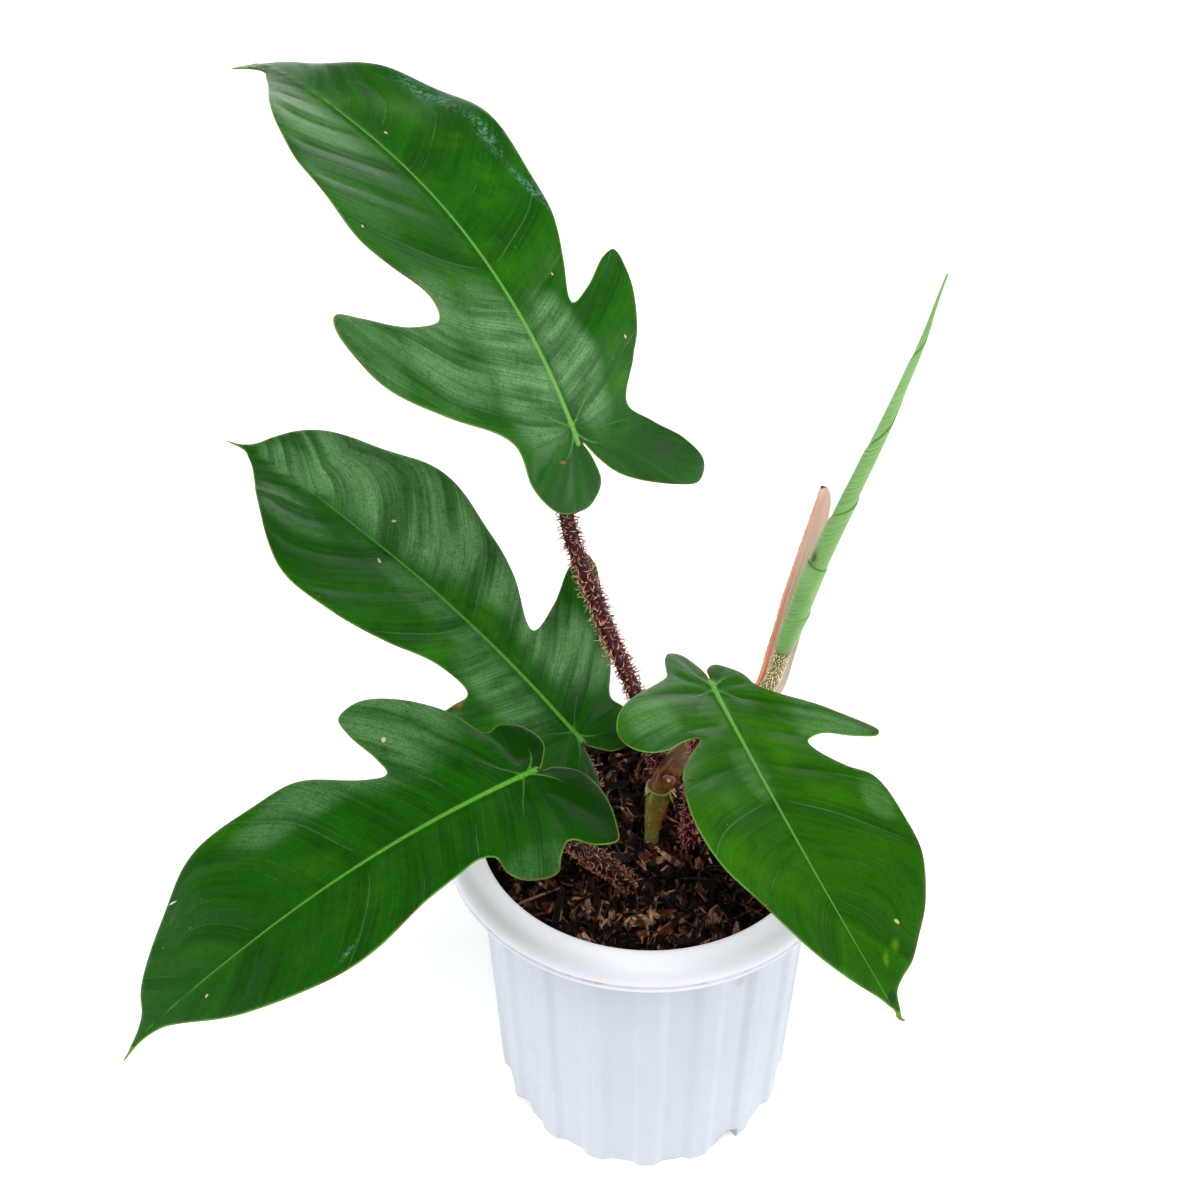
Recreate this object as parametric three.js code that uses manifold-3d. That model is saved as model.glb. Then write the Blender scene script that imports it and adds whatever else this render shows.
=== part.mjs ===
// A potted Philodendron squamiferum, in millimetres, with +Z up.
// The origin is the middle of the pot's underside, and the front of the plant faces -Y.

import * as THREE from 'three';
import { mergeVertices } from 'three/addons/utils/BufferGeometryUtils.js';
import Module from 'manifold-3d';

const wasm = await Module();
wasm.setup();

// Pot: a ribbed plastic nursery pot with a broad rolled rim
const POT_HEIGHT = 144;
const POT_FOOT_RADIUS = 62;
const POT_NECK_RADIUS = 65.2;
const POT_NECK_HEIGHT = 130;
const POT_WALL = 1.8;
const POT_FLOOR = 2.4;
const RIM_OUTER_RADIUS = 77;
const RIM_INNER_RADIUS = 64.4;
const RIM_LIP_HEIGHT = 135.6;
const FLUTE_COUNT = 18;
const FLUTE_DEPTH = 1.4;
const FLUTE_TOP = 127;
const NOTCH_ANGLES = [-60, 40, 120, 220];
const NOTCH_SIZE = { width: 6, height: 3.4, depth: 12 };

// Soil: bark chips and husk, level with the foot of the rim
const SOIL_TOP = 130;
const SOIL_GAP = 0.4;
const SOIL_BUMP = 1.6;
const SOIL_RINGS = 8;
const SOIL_SIDES = 28;
const CHIP_COUNT = 84;
const CHIP_REACH = 55;
const CHIP_TILT = 0.45;
const CHIP_SIZE = { length: [4, 11], width: [2, 3.6], height: [1.2, 2] };
const CHIP_CLEARANCE = 6;
const SOIL_SEED = 11;

// Leaf blades
const BLADE_THICKNESS = 0.9;
const MIDRIB_DEPTH = 1.7;
const MIDRIB_HALF_WIDTH = 1.6;
const MIDRIB_ROW_OFFSET = 2.4;
const MARGIN_STEP = 6.2;
const NET_STEP = 10;
const NET_REACH = 90;
const FOLD_ROUNDING = 3;
const WAVE_HEIGHT = 1.2;
const WAVE_LENGTH = 46;
const WAVE_REACH = 40;
const LOBE_ZONE = { inner: 36, outer: 62, front: 52, end: 68 };

// Stalks and their bristles
const JOINT_GAP = 0.3;
const JOINT_INSET = 2.6;
const JOINT_APPROACH = 7;
const BARE_ABOVE_SOIL = 4;
const PETIOLE_SIDES = 8;
const PETIOLE_RING_STEP = 7;
const BRISTLE_LENGTH = 2.4;
const BRISTLE_RADIUS = 0.42;
const BRISTLE_SUNK = 0.9;
const BRISTLE_TILT = 0.7;

// Each leaf has its blade placed from the petiole joint (base) to the tip. roll turns it about
// that line, arch is the droop of the midrib, fold lifts both halves and bow swings the midrib
// to the left. The outline runs round the flat blade, times size: x along the midrib, y away
// from it, on the left as far as the point numbered tipIndex and on the right after that.
// leftLobeDrop is how far the tip of the left side lobe hangs below the fold.
const LEAVES = [
  {
    name: 'leaf_1',
    base: [-24, 11.5, 297.5],
    tip: [-135.5, 106.5, 385.5],
    turn: { roll: 8, arch: 61, fold: 7, bow: 0 },
    size: 1,
    outline: [
      [-2.5, -1.5], [-8, -4.5], [-16, -5], [-21, 2], [-20.5, 12], [-17, 21], [-6, 29.5], [6, 30],
      [22, 53], [38, 73], [51, 78.5], [56.5, 75], [54, 66], [48, 50], [48, 37], [55, 34.5],
      [67, 40], [82, 45], [101, 43], [127, 31], [150, 14], [167, 4], [182, -1.5],
      [174, 10], [160.5, 25], [147.5, 39], [120, 47.5], [85, 43], [53, 29], [40, 23.5],
      [43, 34], [50, 47], [50.5, 53], [40, 53], [26, 45], [16, 36.5], [3.5, 27], [-5, 36],
      [-15, 48], [-25, 54], [-30.5, 50], [-28, 38], [-16.5, 14.5], [-8.5, 5.5],
    ],
    tipIndex: 22,
    petiole: {
      radius: [2.9, 2.4],
      start: [4.5, 8, 156],
      path: [[3.2, 10, 164], [-2.7, 10, 187], [-13.3, 10, 219], [-19.7, 10.5, 239.5], [-25.8, 11, 258.5],
        [-27.8, 12, 270.5], [-27.6, 13, 282]],
      bristles: 130,
      seed: 21,
    },
  },
  {
    name: 'leaf_2',
    base: [-24.5, 5.5, 174],
    tip: [-152.5, 75, 260.5],
    turn: { roll: 4, arch: 27, fold: 7, bow: 2 },
    size: 1.025,
    leftLobeDrop: 14,
    outline: [
      [-2.5, 0.5], [-7, 3], [-12, 5.5], [-19, 12], [-18, 24], [-8, 31], [4, 27], [14, 38],
      [36, 60], [46, 64], [47, 56], [43, 38], [42, 27], [55, 27], [73, 35.5], [93, 43.5],
      [115, 40], [141, 19], [157, 4], [172, -1.5],
      [162, 9], [147, 28.5], [124, 41.5], [97, 46], [60, 30.5], [40, 19], [41, 36], [46, 52],
      [47, 64.5], [40, 65], [33.5, 59], [9, 33], [1.5, 24], [-5, 26], [-12, 24], [-15, 16],
      [-12, 8], [-7, 3.5],
    ],
    tipIndex: 19,
    petiole: {
      radius: [2.8, 2.4],
      start: [-20, 3, 116],
      path: [[-20, 3, 130], [-20.5, 5, 145], [-23, 7, 157], [-26, 8.5, 165]],
      bristles: 45,
      seed: 22,
    },
  },
  {
    name: 'leaf_3',
    base: [-38.5, -48.5, 211],
    tip: [-161, -114, 157.5],
    turn: { roll: 2, arch: 48, fold: 3, bow: 15 },
    size: 0.95,
    outline: [
      [-2.5, 0.5], [-7, 2], [-13, 9], [-13, 21], [-7, 37], [-2, 44.5], [4, 42], [8, 34],
      [14, 39], [19, 45], [27, 41], [30, 35], [30, 27], [34, 24.5], [42, 26], [54, 28.5],
      [71, 33.5], [89, 33], [113, 23], [142, 6], [156, 1], [166, -1],
      [159, 4], [152, 13.5], [140, 32], [116, 47], [94, 50.5], [73, 47], [50, 32], [42, 29],
      [42, 38], [45.5, 55], [45, 65], [36, 67], [22, 57], [9, 40], [3, 26.5], [-3, 27],
      [-9, 22], [-11, 11], [-5.5, 3],
    ],
    tipIndex: 21,
    petiole: {
      radius: [2.8, 2.4],
      start: [3, -27, 118],
      path: [[-5, -28, 130], [-18, -29.5, 147], [-29, -31, 161], [-36, -36, 178], [-38.5, -43, 195]],
      bristles: 75,
      seed: 23,
    },
  },
  {
    name: 'leaf_4',
    base: [22.5, 6, 200.5],
    tip: [67.5, -120, 181.5],
    turn: { roll: -17, arch: 20, fold: 9, bow: -21 },
    size: 1,
    outline: [
      [-2.5, 0.5], [-9, 1], [-12.5, 5], [-10, 10], [-6, 14], [1, 16.5], [6, 21.5], [19, 40],
      [29, 50], [34.5, 52], [32.5, 40], [30.5, 30], [35, 24], [49, 31.5], [56, 39], [70, 42.5],
      [88, 40], [108, 30.5], [118, 21.5], [129, 7], [134, 1], [140, -1.5],
      [133, 2.5], [122, 11], [110, 19.5], [95, 27.5], [83, 34.5], [67, 38], [50, 31.5],
      [34, 17.5], [37, 25], [43, 41], [42, 49], [35, 50.5], [25, 43], [18, 34.5], [7, 22],
      [-1, 19], [-12, 13], [-15.5, 5.5], [-9, 1.5],
    ],
    tipIndex: 21,
    petiole: {
      radius: [2.7, 2.3],
      start: [12, -9, 118],
      path: [[12.2, -9, 134], [11.8, -9, 164], [12.5, -8, 181], [16, -3, 190]],
      bristles: 95,
      seed: 24,
    },
  },
];

// Stem: a short olive length, a ring, and a leaning brown length with a bud
const STEM_PATH = [[2, -8, 96], [2, -8, 130], [3.2, -4, 141], [5, 2, 150], [8.5, 5.5, 158], [14, 9, 166],
  [18, 11, 170]];
const STEM_RADIUS = 3.8;
const STEM_TOP_RADIUS = 4.1;
const STEM_NET = { sides: 12, step: 6 };
const RING_AT = [5, 2.4, 150.5];
const RING_RADIUS = 4.9;
const BUD_AT = [8.2, 0.9, 158.5];
const BUD_RADIUS = 1.6;

// New growth: its stalk, the rolled leaf on it and the sheath that it came out of
const SHOOT_PATH = [[16, 10, 168.5], [22, 12.2, 171.5], [32, 14, 175.5], [40.5, 15.5, 183], [45, 16, 191],
  [48.9, 16, 207.3]];
const SHOOT_RADIUS = [3.1, 2.7];
const SPEAR_PATH = [[49, 16, 207.7], [52.7, 16, 223.5], [57.9, 16, 245], [63.8, 16, 265], [70.5, 16, 286.5],
  [76.8, 16, 308], [82.2, 16, 328.5], [85, 16, 343], [86.4, 16, 349.5]];
const SPEAR_RADII = [2.7, 3.4, 3.4, 3.2, 3, 2.5, 2.2, 1.7, 1.3, 0.7, 0.3];
const SHEATH_PATH = [[37.5, 15.2, 180], [40.6, 15.7, 183.5], [44.7, 16.8, 190.5], [47.6, 18.2, 203],
  [50.2, 19.3, 215], [52, 20.4, 226], [55.3, 22, 243], [57.8, 23.2, 258], [60, 24.3, 270.5]];
const SHEATH_RADII = [4.3, 4.5, 4.8, 5, 4.9, 4.5, 4, 3, 1.4];
const SHEATH_WALL = 0.9;
const SHEATH_SPREAD = 150;

const COLOURS = {
  pot: { color: '#f1f3f8', roughness: 0.35, metalness: 0 },
  soil: { color: '#33211a', roughness: 0.95, metalness: 0 },
  blade: { color: '#2c6a22', roughness: 0.4, metalness: 0 },
  petiole: { color: '#6b2229', roughness: 0.6, metalness: 0 },
  stem: { color: '#5c3e18', roughness: 0.5, metalness: 0 },
  newStalk: { color: '#a5a468', roughness: 0.6, metalness: 0 },
  newLeaf: { color: '#8cc073', roughness: 0.45, metalness: 0 },
  sheath: { color: '#dba58c', roughness: 0.5, metalness: 0 },
};

// A repeatable random number between 0 and 1 from a seed
function seededRandom(seed) {
  let state = seed;
  return () => {
    state = (state + 0x6d2b79f5) | 0;
    let t = Math.imul(state ^ (state >>> 15), 1 | state);
    t = (t + Math.imul(t ^ (t >>> 7), 61 | t)) ^ t;
    return ((t ^ (t >>> 14)) >>> 0) / 4294967296;
  };
}

// A mesh as a solid, and a solid as a mesh
function toSolid(geometry) {
  const bare = geometry.clone();
  bare.deleteAttribute('normal');
  bare.deleteAttribute('uv');
  const merged = mergeVertices(bare, 1e-4);
  const vertProperties = new Float32Array(merged.attributes.position.array);
  const triVerts = new Uint32Array(merged.index.array);
  return new wasm.Manifold(new wasm.Mesh({ numProp: 3, vertProperties, triVerts }));
}

function toGeometry(solid) {
  const { vertProperties, triVerts } = solid.getMesh();
  const geometry = new THREE.BufferGeometry();
  geometry.setAttribute('position', new THREE.BufferAttribute(vertProperties, 3));
  geometry.setIndex(new THREE.BufferAttribute(triVerts, 1));
  return geometry;
}

function joinAll(solids) {
  return solids.reduce((whole, solid) => whole.add(solid));
}

// The largest loose body of a solid, without scraps that a cut left
function largestBody(solid) {
  return solid.decompose().reduce((a, b) => (b.volume() > a.volume() ? b : a));
}

function toMesh(name, geometry, finish) {
  geometry.computeVertexNormals();
  const mesh = new THREE.Mesh(geometry, new THREE.MeshStandardMaterial(finish));
  mesh.name = name;
  return mesh;
}

function vector([x, y, z]) {
  return new THREE.Vector3(x, y, z);
}

// The value at share t of an evenly spaced list
function valueAlong(values, t) {
  const place = Math.min(Math.max(t, 0), 1) * (values.length - 1);
  const low = Math.min(Math.floor(place), values.length - 2);
  return THREE.MathUtils.lerp(values[low], values[low + 1], place - low);
}

// A cylinder bent along a curve, with its radius read along the way
function bentRod(points, radii, { sides = PETIOLE_SIDES, step = PETIOLE_RING_STEP } = {}) {
  const curve = new THREE.CatmullRomCurve3(points.map(vector), false, 'centripetal');
  const rings = Math.max(2, Math.round(curve.getLength() / step));
  const frames = curve.computeFrenetFrames(rings, false);
  const geometry = new THREE.CylinderGeometry(1, 1, rings, sides, rings);
  const position = geometry.attributes.position;
  for (let i = 0; i < position.count; i += 1) {
    const ring = Math.round(position.getY(i) + rings / 2);
    const radius = valueAlong(radii, ring / rings);
    const place = curve.getPointAt(ring / rings)
      .addScaledVector(frames.normals[ring], position.getZ(i) * radius)
      .addScaledVector(frames.binormals[ring], position.getX(i) * radius);
    position.setXYZ(i, place.x, place.y, place.z);
  }
  return { geometry, curve, frames, rings };
}

// One three-sided bristle with its root sunk in the stalk
function bristle(root, direction, length) {
  const geometry = new THREE.ConeGeometry(BRISTLE_RADIUS, length + BRISTLE_SUNK, 3, 1);
  geometry.translate(0, (length + BRISTLE_SUNK) / 2, 0);
  const turn = new THREE.Quaternion().setFromUnitVectors(new THREE.Vector3(0, 1, 0), direction);
  geometry.applyQuaternion(turn);
  geometry.translate(root.x, root.y, root.z);
  return toSolid(geometry);
}

// Bristles spread evenly round and along a stalk by the golden angle, each tilted by chance
function bristlesOn({ curve, frames, rings }, radii, { bristles, seed }, lowest) {
  const random = seededRandom(seed);
  const goldenAngle = Math.PI * (3 - Math.sqrt(5));
  const solids = [];
  for (let i = 0; i < bristles; i += 1) {
    const t = (i + 0.5) / bristles;
    const ring = Math.min(rings, Math.round(t * rings));
    const angle = i * goldenAngle;
    const centre = curve.getPointAt(t);
    const outward = new THREE.Vector3()
      .addScaledVector(frames.normals[ring], Math.cos(angle))
      .addScaledVector(frames.binormals[ring], Math.sin(angle));
    const length = BRISTLE_LENGTH * (0.7 + 0.5 * random());
    const direction = outward.clone()
      .addScaledVector(frames.tangents[ring], BRISTLE_TILT * (random() - 0.5) * 2)
      .normalize();
    const root = centre.clone().addScaledVector(outward, valueAlong(radii, t) - BRISTLE_SUNK);
    if (root.z > lowest) {
      solids.push(bristle(root, direction, length));
    }
  }
  return solids;
}

// Height and run of an arc of the given length and total turn, whose chord is level
function arcAt(distance, length, turn) {
  const total = Math.abs(turn) < 1e-4 ? 1e-4 : turn;
  const radius = length / total;
  const slope = total / 2 - distance / radius;
  return {
    run: radius * (Math.sin(total / 2) - Math.sin(slope)),
    rise: radius * (Math.cos(slope) - Math.cos(total / 2)),
    slope,
  };
}

function arcLength(chord, turn) {
  const total = Math.abs(turn) < 1e-4 ? 1e-4 : turn;
  return (chord * total) / (2 * Math.sin(total / 2));
}

// The curved face of a blade: a function from the flat outline's x and y to space
function bladeSurface({ base, tip, turn, leftLobeDrop = 0 }) {
  const [roll, arch, fold, bow] = [turn.roll, turn.arch, turn.fold, turn.bow]
    .map(THREE.MathUtils.degToRad);
  const start = vector(base);
  const ahead = vector(tip).sub(start);
  const chord = ahead.length();
  ahead.normalize();
  const level = new THREE.Vector3(0, 0, 1).addScaledVector(ahead, -ahead.z).normalize();
  const left = new THREE.Vector3().crossVectors(level, ahead).applyAxisAngle(ahead, roll);
  const up = level.clone().applyAxisAngle(ahead, roll);
  const archLength = arcLength(chord, arch);
  const length = arcLength(archLength, bow);

  function middle(x, y) {
    const side = arcAt(x, length, bow);
    const across = y * Math.cos(fold);
    const along = side.run - across * Math.sin(side.slope);
    const sideways = side.rise + across * Math.cos(side.slope);
    const spread = Math.hypot(y, FOLD_ROUNDING) - FOLD_ROUNDING;
    const reach = Math.min(1, Math.abs(y) / WAVE_REACH);
    const wave = WAVE_HEIGHT * reach * reach * Math.sin((2 * Math.PI * x) / WAVE_LENGTH + Math.sign(y));
    const hanging = THREE.MathUtils.smoothstep(y, LOBE_ZONE.inner, LOBE_ZONE.outer)
      * (1 - THREE.MathUtils.smoothstep(x, LOBE_ZONE.front, LOBE_ZONE.end));
    const lift = spread * Math.sin(fold) + wave - leftLobeDrop * hanging;
    const bend = arcAt(along, archLength, arch);
    return start.clone()
      .addScaledVector(ahead, bend.run - lift * Math.sin(bend.slope))
      .addScaledVector(left, sideways)
      .addScaledVector(up, bend.rise + lift * Math.cos(bend.slope));
  }

  function normalAt(x, y) {
    const reach = 0.5;
    const alongX = middle(x + reach, y).sub(middle(x - reach, y));
    const alongY = middle(x, y + reach).sub(middle(x, y - reach));
    return alongX.cross(alongY).normalize();
  }

  return {
    length,
    normalAt,
    at: (x, y, height = 0) => middle(x, y).addScaledVector(normalAt(x, y), height),
  };
}

// The blade's flat outline as evenly spaced points round a smooth closed curve
function sampleOutline({ outline, tipIndex, size }) {
  const points = outline.map(([x, y], i) => new THREE.Vector3(x, i > tipIndex ? -y : y, 0));
  points.forEach((point) => point.multiplyScalar(size));
  const curve = new THREE.CatmullRomCurve3(points, true, 'centripetal');
  const count = Math.round(curve.getLength() / MARGIN_STEP);
  return curve.getSpacedPoints(count).slice(0, count).map(({ x, y }) => [x, y]);
}

function isInside([x, y], loop) {
  let inside = false;
  for (let i = 0, j = loop.length - 1; i < loop.length; j = i, i += 1) {
    const [xi, yi] = loop[i];
    const [xj, yj] = loop[j];
    if ((yi > y) !== (yj > y) && x < ((xj - xi) * (y - yi)) / (yj - yi) + xi) {
      inside = !inside;
    }
  }
  return inside;
}

function distanceToLoop([x, y], loop) {
  return Math.min(...loop.map(([a, b]) => Math.hypot(a - x, b - y)));
}

function circleThrough([ax, ay], [bx, by], [cx, cy]) {
  const d = 2 * (ax * (by - cy) + bx * (cy - ay) + cx * (ay - by));
  const [a, b, c] = [ax * ax + ay * ay, bx * bx + by * by, cx * cx + cy * cy];
  const x = (a * (by - cy) + b * (cy - ay) + c * (ay - by)) / d;
  const y = (a * (cx - bx) + b * (ax - cx) + c * (bx - ax)) / d;
  return { x, y, squared: (ax - x) ** 2 + (ay - y) ** 2 };
}

// Delaunay net over flat points: each new point opens the triangles whose circle holds it
function delaunay(points) {
  const far = 1e4;
  const all = [...points, [-far, -far], [far, -far], [0, far]];
  const n = points.length;
  const triangle = (...corners) => ({ corners, circle: circleThrough(...corners.map((i) => all[i])) });
  let net = [triangle(n, n + 1, n + 2)];
  points.forEach(([x, y], index) => {
    const rim = new Map();
    net = net.filter(({ corners, circle }) => {
      if ((circle.x - x) ** 2 + (circle.y - y) ** 2 >= circle.squared) {
        return true;
      }
      corners.forEach((from, i) => {
        const to = corners[(i + 1) % 3];
        if (!rim.delete(`${to},${from}`)) {
          rim.set(`${from},${to}`, [from, to]);
        }
      });
      return false;
    });
    rim.forEach(([from, to]) => net.push(triangle(from, to, index)));
  });
  return net.map(({ corners }) => corners).filter((corners) => corners.every((i) => i < n));
}

// Points inside the outline: two rows beside the midrib, one on it, and a net over the rest
function innerPoints(loop, length) {
  const points = [];
  for (let x = 2; x < length - 12; x += NET_STEP) {
    points.push([x, 0], [x + 1, MIDRIB_ROW_OFFSET], [x + 1, -MIDRIB_ROW_OFFSET]);
  }
  const rowStep = NET_STEP * Math.sin(Math.PI / 3);
  const rows = Math.ceil(NET_REACH / rowStep);
  for (let row = -rows; row <= rows; row += 1) {
    const y = row * rowStep + 0.4;
    for (let x = -NET_REACH; x < length; x += NET_STEP) {
      points.push([x + (row % 2 ? NET_STEP / 2 : 0), y]);
    }
  }
  const midrib = points.filter(([x, y]) => Math.abs(y) <= MIDRIB_ROW_OFFSET && x > 0);
  return points.filter((point) => {
    const clear = Math.abs(point[1]) > MIDRIB_ROW_OFFSET + NET_STEP * 0.4 || midrib.includes(point);
    return clear && isInside(point, loop) && distanceToLoop(point, loop) > MARGIN_STEP * 0.55;
  });
}

// The net of a blade, with each outline edge that the net misses halved until it has them all
function bladeNet(leaf, length) {
  let loop = sampleOutline(leaf);
  for (;;) {
    const points = [...loop, ...innerPoints(loop, length)];
    const triangles = delaunay(points).filter((corners) => {
      const x = corners.reduce((sum, i) => sum + points[i][0], 0) / 3;
      const y = corners.reduce((sum, i) => sum + points[i][1], 0) / 3;
      return isInside([x, y], loop);
    });
    const edges = new Set(triangles.flatMap(([a, b, c]) => [`${a},${b}`, `${b},${c}`, `${c},${a}`]));
    const size = loop.length;
    const whole = (i) => edges.has(`${i},${(i + 1) % size}`) || edges.has(`${(i + 1) % size},${i}`);
    if (loop.every((_, i) => whole(i))) {
      return { points, triangles, loopSize: size };
    }
    loop = loop.flatMap((point, i) => {
      const next = loop[(i + 1) % size];
      return whole(i) ? [point] : [point, [(point[0] + next[0]) / 2, (point[1] + next[1]) / 2]];
    });
  }
}

// The midrib stands out below, deepest at the petiole
function midribDepth(x, y, length) {
  const fade = THREE.MathUtils.clamp(1 - x / (length - 10), 0, 1);
  return MIDRIB_DEPTH * fade * Math.exp(-((y / MIDRIB_HALF_WIDTH) ** 2));
}

// A blade as a closed solid whose two faces share one net, thickened by grow on each face
function bladeGeometry(surface, net, grow = 0) {
  const { points, triangles, loopSize } = net;
  const half = BLADE_THICKNESS / 2;
  const count = points.length;
  const top = points.map(([x, y]) => surface.at(x, y, half + grow));
  const bottom = points.map(([x, y]) => surface.at(x, y, -half - grow - midribDepth(x, y, surface.length)));
  const index = [];
  const turned = (a, b, c) => {
    const [[ax, ay], [bx, by], [cx, cy]] = [points[a], points[b], points[c]];
    return (bx - ax) * (cy - ay) - (by - ay) * (cx - ax) > 0;
  };
  const used = new Map();
  triangles.forEach((corners) => {
    const [a, b, c] = turned(...corners) ? corners : [corners[0], corners[2], corners[1]];
    index.push(a, b, c, a + count, c + count, b + count);
    [[a, b], [b, c], [c, a]].forEach(([from, to]) => used.set(`${from},${to}`, [from, to]));
  });
  for (let i = 0; i < loopSize; i += 1) {
    const j = (i + 1) % loopSize;
    const [from, to] = used.has(`${i},${j}`) ? [i, j] : [j, i];
    index.push(from, from + count, to, to, from + count, to + count);
  }
  const geometry = new THREE.BufferGeometry().setFromPoints([...top, ...bottom]);
  geometry.setIndex(index);
  return geometry;
}

// A blade and its bristly petiole, cut back to end just under the blade
function makeLeaf(leaf) {
  const surface = bladeSurface(leaf);
  const net = bladeNet(leaf, surface.length);
  const blade = bladeGeometry(surface, net);
  const { radius, start, path } = leaf.petiole;
  const joint = surface.at(JOINT_INSET, 0, BLADE_THICKNESS);
  const before = surface.at(JOINT_INSET, 0, -JOINT_APPROACH);
  const points = [start, ...path, before.toArray(), joint.toArray()];
  const rod = bentRod(points, radius);
  const bristles = bristlesOn(rod, radius, leaf.petiole, SOIL_TOP + BARE_ABOVE_SOIL);
  const stalk = joinAll([toSolid(rod.geometry), ...bristles]);
  const cutter = toSolid(bladeGeometry(surface, net, JOINT_GAP));
  return {
    blade: toSolid(blade),
    stalk: largestBody(stalk.subtract(cutter)),
    socket: toSolid(bentRod(points, radius.map((r) => r + JOINT_GAP)).geometry),
  };
}

// Depth of the flutes at an angle: ridges between broad hollows
function fluteDepth(angle) {
  return FLUTE_DEPTH * (1 - Math.abs(Math.cos((FLUTE_COUNT * angle) / 2)) ** 1.5);
}

function potProfile() {
  const inner = POT_WALL;
  return [
    [0, 0], [POT_FOOT_RADIUS, 0], [POT_NECK_RADIUS, FLUTE_TOP], [POT_NECK_RADIUS, POT_NECK_HEIGHT],
    [70, 133.6], [74.6, RIM_LIP_HEIGHT - 0.6], [76, RIM_LIP_HEIGHT + 0.2], [76, RIM_LIP_HEIGHT + 1.4],
    [RIM_OUTER_RADIUS, 138.6], [76, 140.9], [73.2, 142.9], [70, POT_HEIGHT], [67, POT_HEIGHT],
    [65.2, 143.4], [RIM_INNER_RADIUS, 142], [POT_NECK_RADIUS - inner, POT_NECK_HEIGHT + 5],
    [POT_NECK_RADIUS - inner - FLUTE_DEPTH, FLUTE_TOP],
    [POT_FOOT_RADIUS - inner - FLUTE_DEPTH, POT_FLOOR], [0, POT_FLOOR],
  ].map(([x, y]) => new THREE.Vector2(x, y));
}

function makePot() {
  const lathe = new THREE.LatheGeometry(potProfile(), FLUTE_COUNT * 4);
  lathe.rotateX(Math.PI / 2);
  const position = lathe.attributes.position;
  for (let i = 0; i < position.count; i += 1) {
    const [x, y, z] = [position.getX(i), position.getY(i), position.getZ(i)];
    const radius = Math.hypot(x, y);
    const crest = THREE.MathUtils.mapLinear(z, 0, FLUTE_TOP, POT_FOOT_RADIUS, POT_NECK_RADIUS);
    if (z <= FLUTE_TOP && radius > crest - 1) {
      const scale = (radius - fluteDepth(Math.atan2(x, -y))) / radius;
      position.setXY(i, x * scale, y * scale);
    }
  }
  const notches = NOTCH_ANGLES.map((degrees) => {
    const { width, height, depth } = NOTCH_SIZE;
    const box = new THREE.BoxGeometry(width, depth, height * 2);
    box.translate(0, -POT_FOOT_RADIUS, 0);
    box.rotateZ(THREE.MathUtils.degToRad(degrees));
    return toSolid(box);
  });
  return toSolid(lathe).subtract(joinAll(notches));
}

// Height of the soil's bumps: three crossing ripples
function soilBump(x, y) {
  const ripple = Math.sin(x * 0.21 + 1) * Math.cos(y * 0.17) + 0.6 * Math.sin(x * 0.43 - y * 0.38);
  return SOIL_BUMP * 0.5 * (ripple + 0.5 * Math.sin(y * 0.61 + x * 0.12));
}

function soilBody() {
  const gap = POT_WALL + FLUTE_DEPTH + SOIL_GAP;
  const low = POT_FOOT_RADIUS - gap;
  const high = POT_NECK_RADIUS - gap;
  const profile = [[0, POT_FLOOR + SOIL_GAP], [low, POT_FLOOR + SOIL_GAP], [high, SOIL_TOP - 4]];
  for (let ring = 0; ring <= SOIL_RINGS; ring += 1) {
    profile.push([high * (1 - ring / SOIL_RINGS), SOIL_TOP]);
  }
  const lathe = new THREE.LatheGeometry(profile.map(([x, y]) => new THREE.Vector2(x, y)), SOIL_SIDES);
  lathe.rotateX(Math.PI / 2);
  const position = lathe.attributes.position;
  for (let i = 0; i < position.count; i += 1) {
    if (position.getZ(i) > SOIL_TOP - 1) {
      position.setZ(i, SOIL_TOP + soilBump(position.getX(i), position.getY(i)));
    }
  }
  return toSolid(lathe);
}

// A chip at a place is left out where it would touch the stem or a stalk
function isClearOfStalks(x, y, reach) {
  const entries = [STEM_PATH[1], ...LEAVES.slice(1).map(({ petiole }) => petiole.path[0])];
  return entries.every(([a, b]) => Math.hypot(a - x, b - y) > CHIP_CLEARANCE + reach);
}

function soilChips() {
  const random = seededRandom(SOIL_SEED);
  const between = ([low, high]) => low + (high - low) * random();
  const chips = [];
  const goldenAngle = Math.PI * (3 - Math.sqrt(5));
  for (let i = 0; i < CHIP_COUNT; i += 1) {
    const distance = CHIP_REACH * Math.sqrt((i + 0.5) / CHIP_COUNT);
    const [x, y] = [distance * Math.cos(i * goldenAngle), distance * Math.sin(i * goldenAngle)];
    const [length, width, height] = [CHIP_SIZE.length, CHIP_SIZE.width, CHIP_SIZE.height].map(between);
    const [tiltX, tiltY] = [random() - 0.5, random() - 0.5].map((share) => share * 2 * CHIP_TILT);
    const turn = new THREE.Euler(tiltX, tiltY, random() * Math.PI);
    if (isClearOfStalks(x, y, length / 2)) {
      const box = new THREE.BoxGeometry(length, width, height);
      box.applyQuaternion(new THREE.Quaternion().setFromEuler(turn));
      box.translate(x, y, SOIL_TOP + soilBump(x, y) + 0.2);
      chips.push(toSolid(box));
    }
  }
  return chips;
}

function stemRadii(grow = 0) {
  return [STEM_RADIUS, STEM_RADIUS, STEM_RADIUS, STEM_TOP_RADIUS].map((radius) => radius + grow);
}

// The room that the stem takes up, with the joint's gap round it and past its top
function stemSocket() {
  const [before, end] = STEM_PATH.slice(-2).map(vector);
  const past = end.clone().addScaledVector(end.clone().sub(before).normalize(), JOINT_GAP);
  const path = [...STEM_PATH.slice(0, -1), past.toArray()];
  return toSolid(bentRod(path, stemRadii(JOINT_GAP), STEM_NET).geometry);
}

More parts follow.
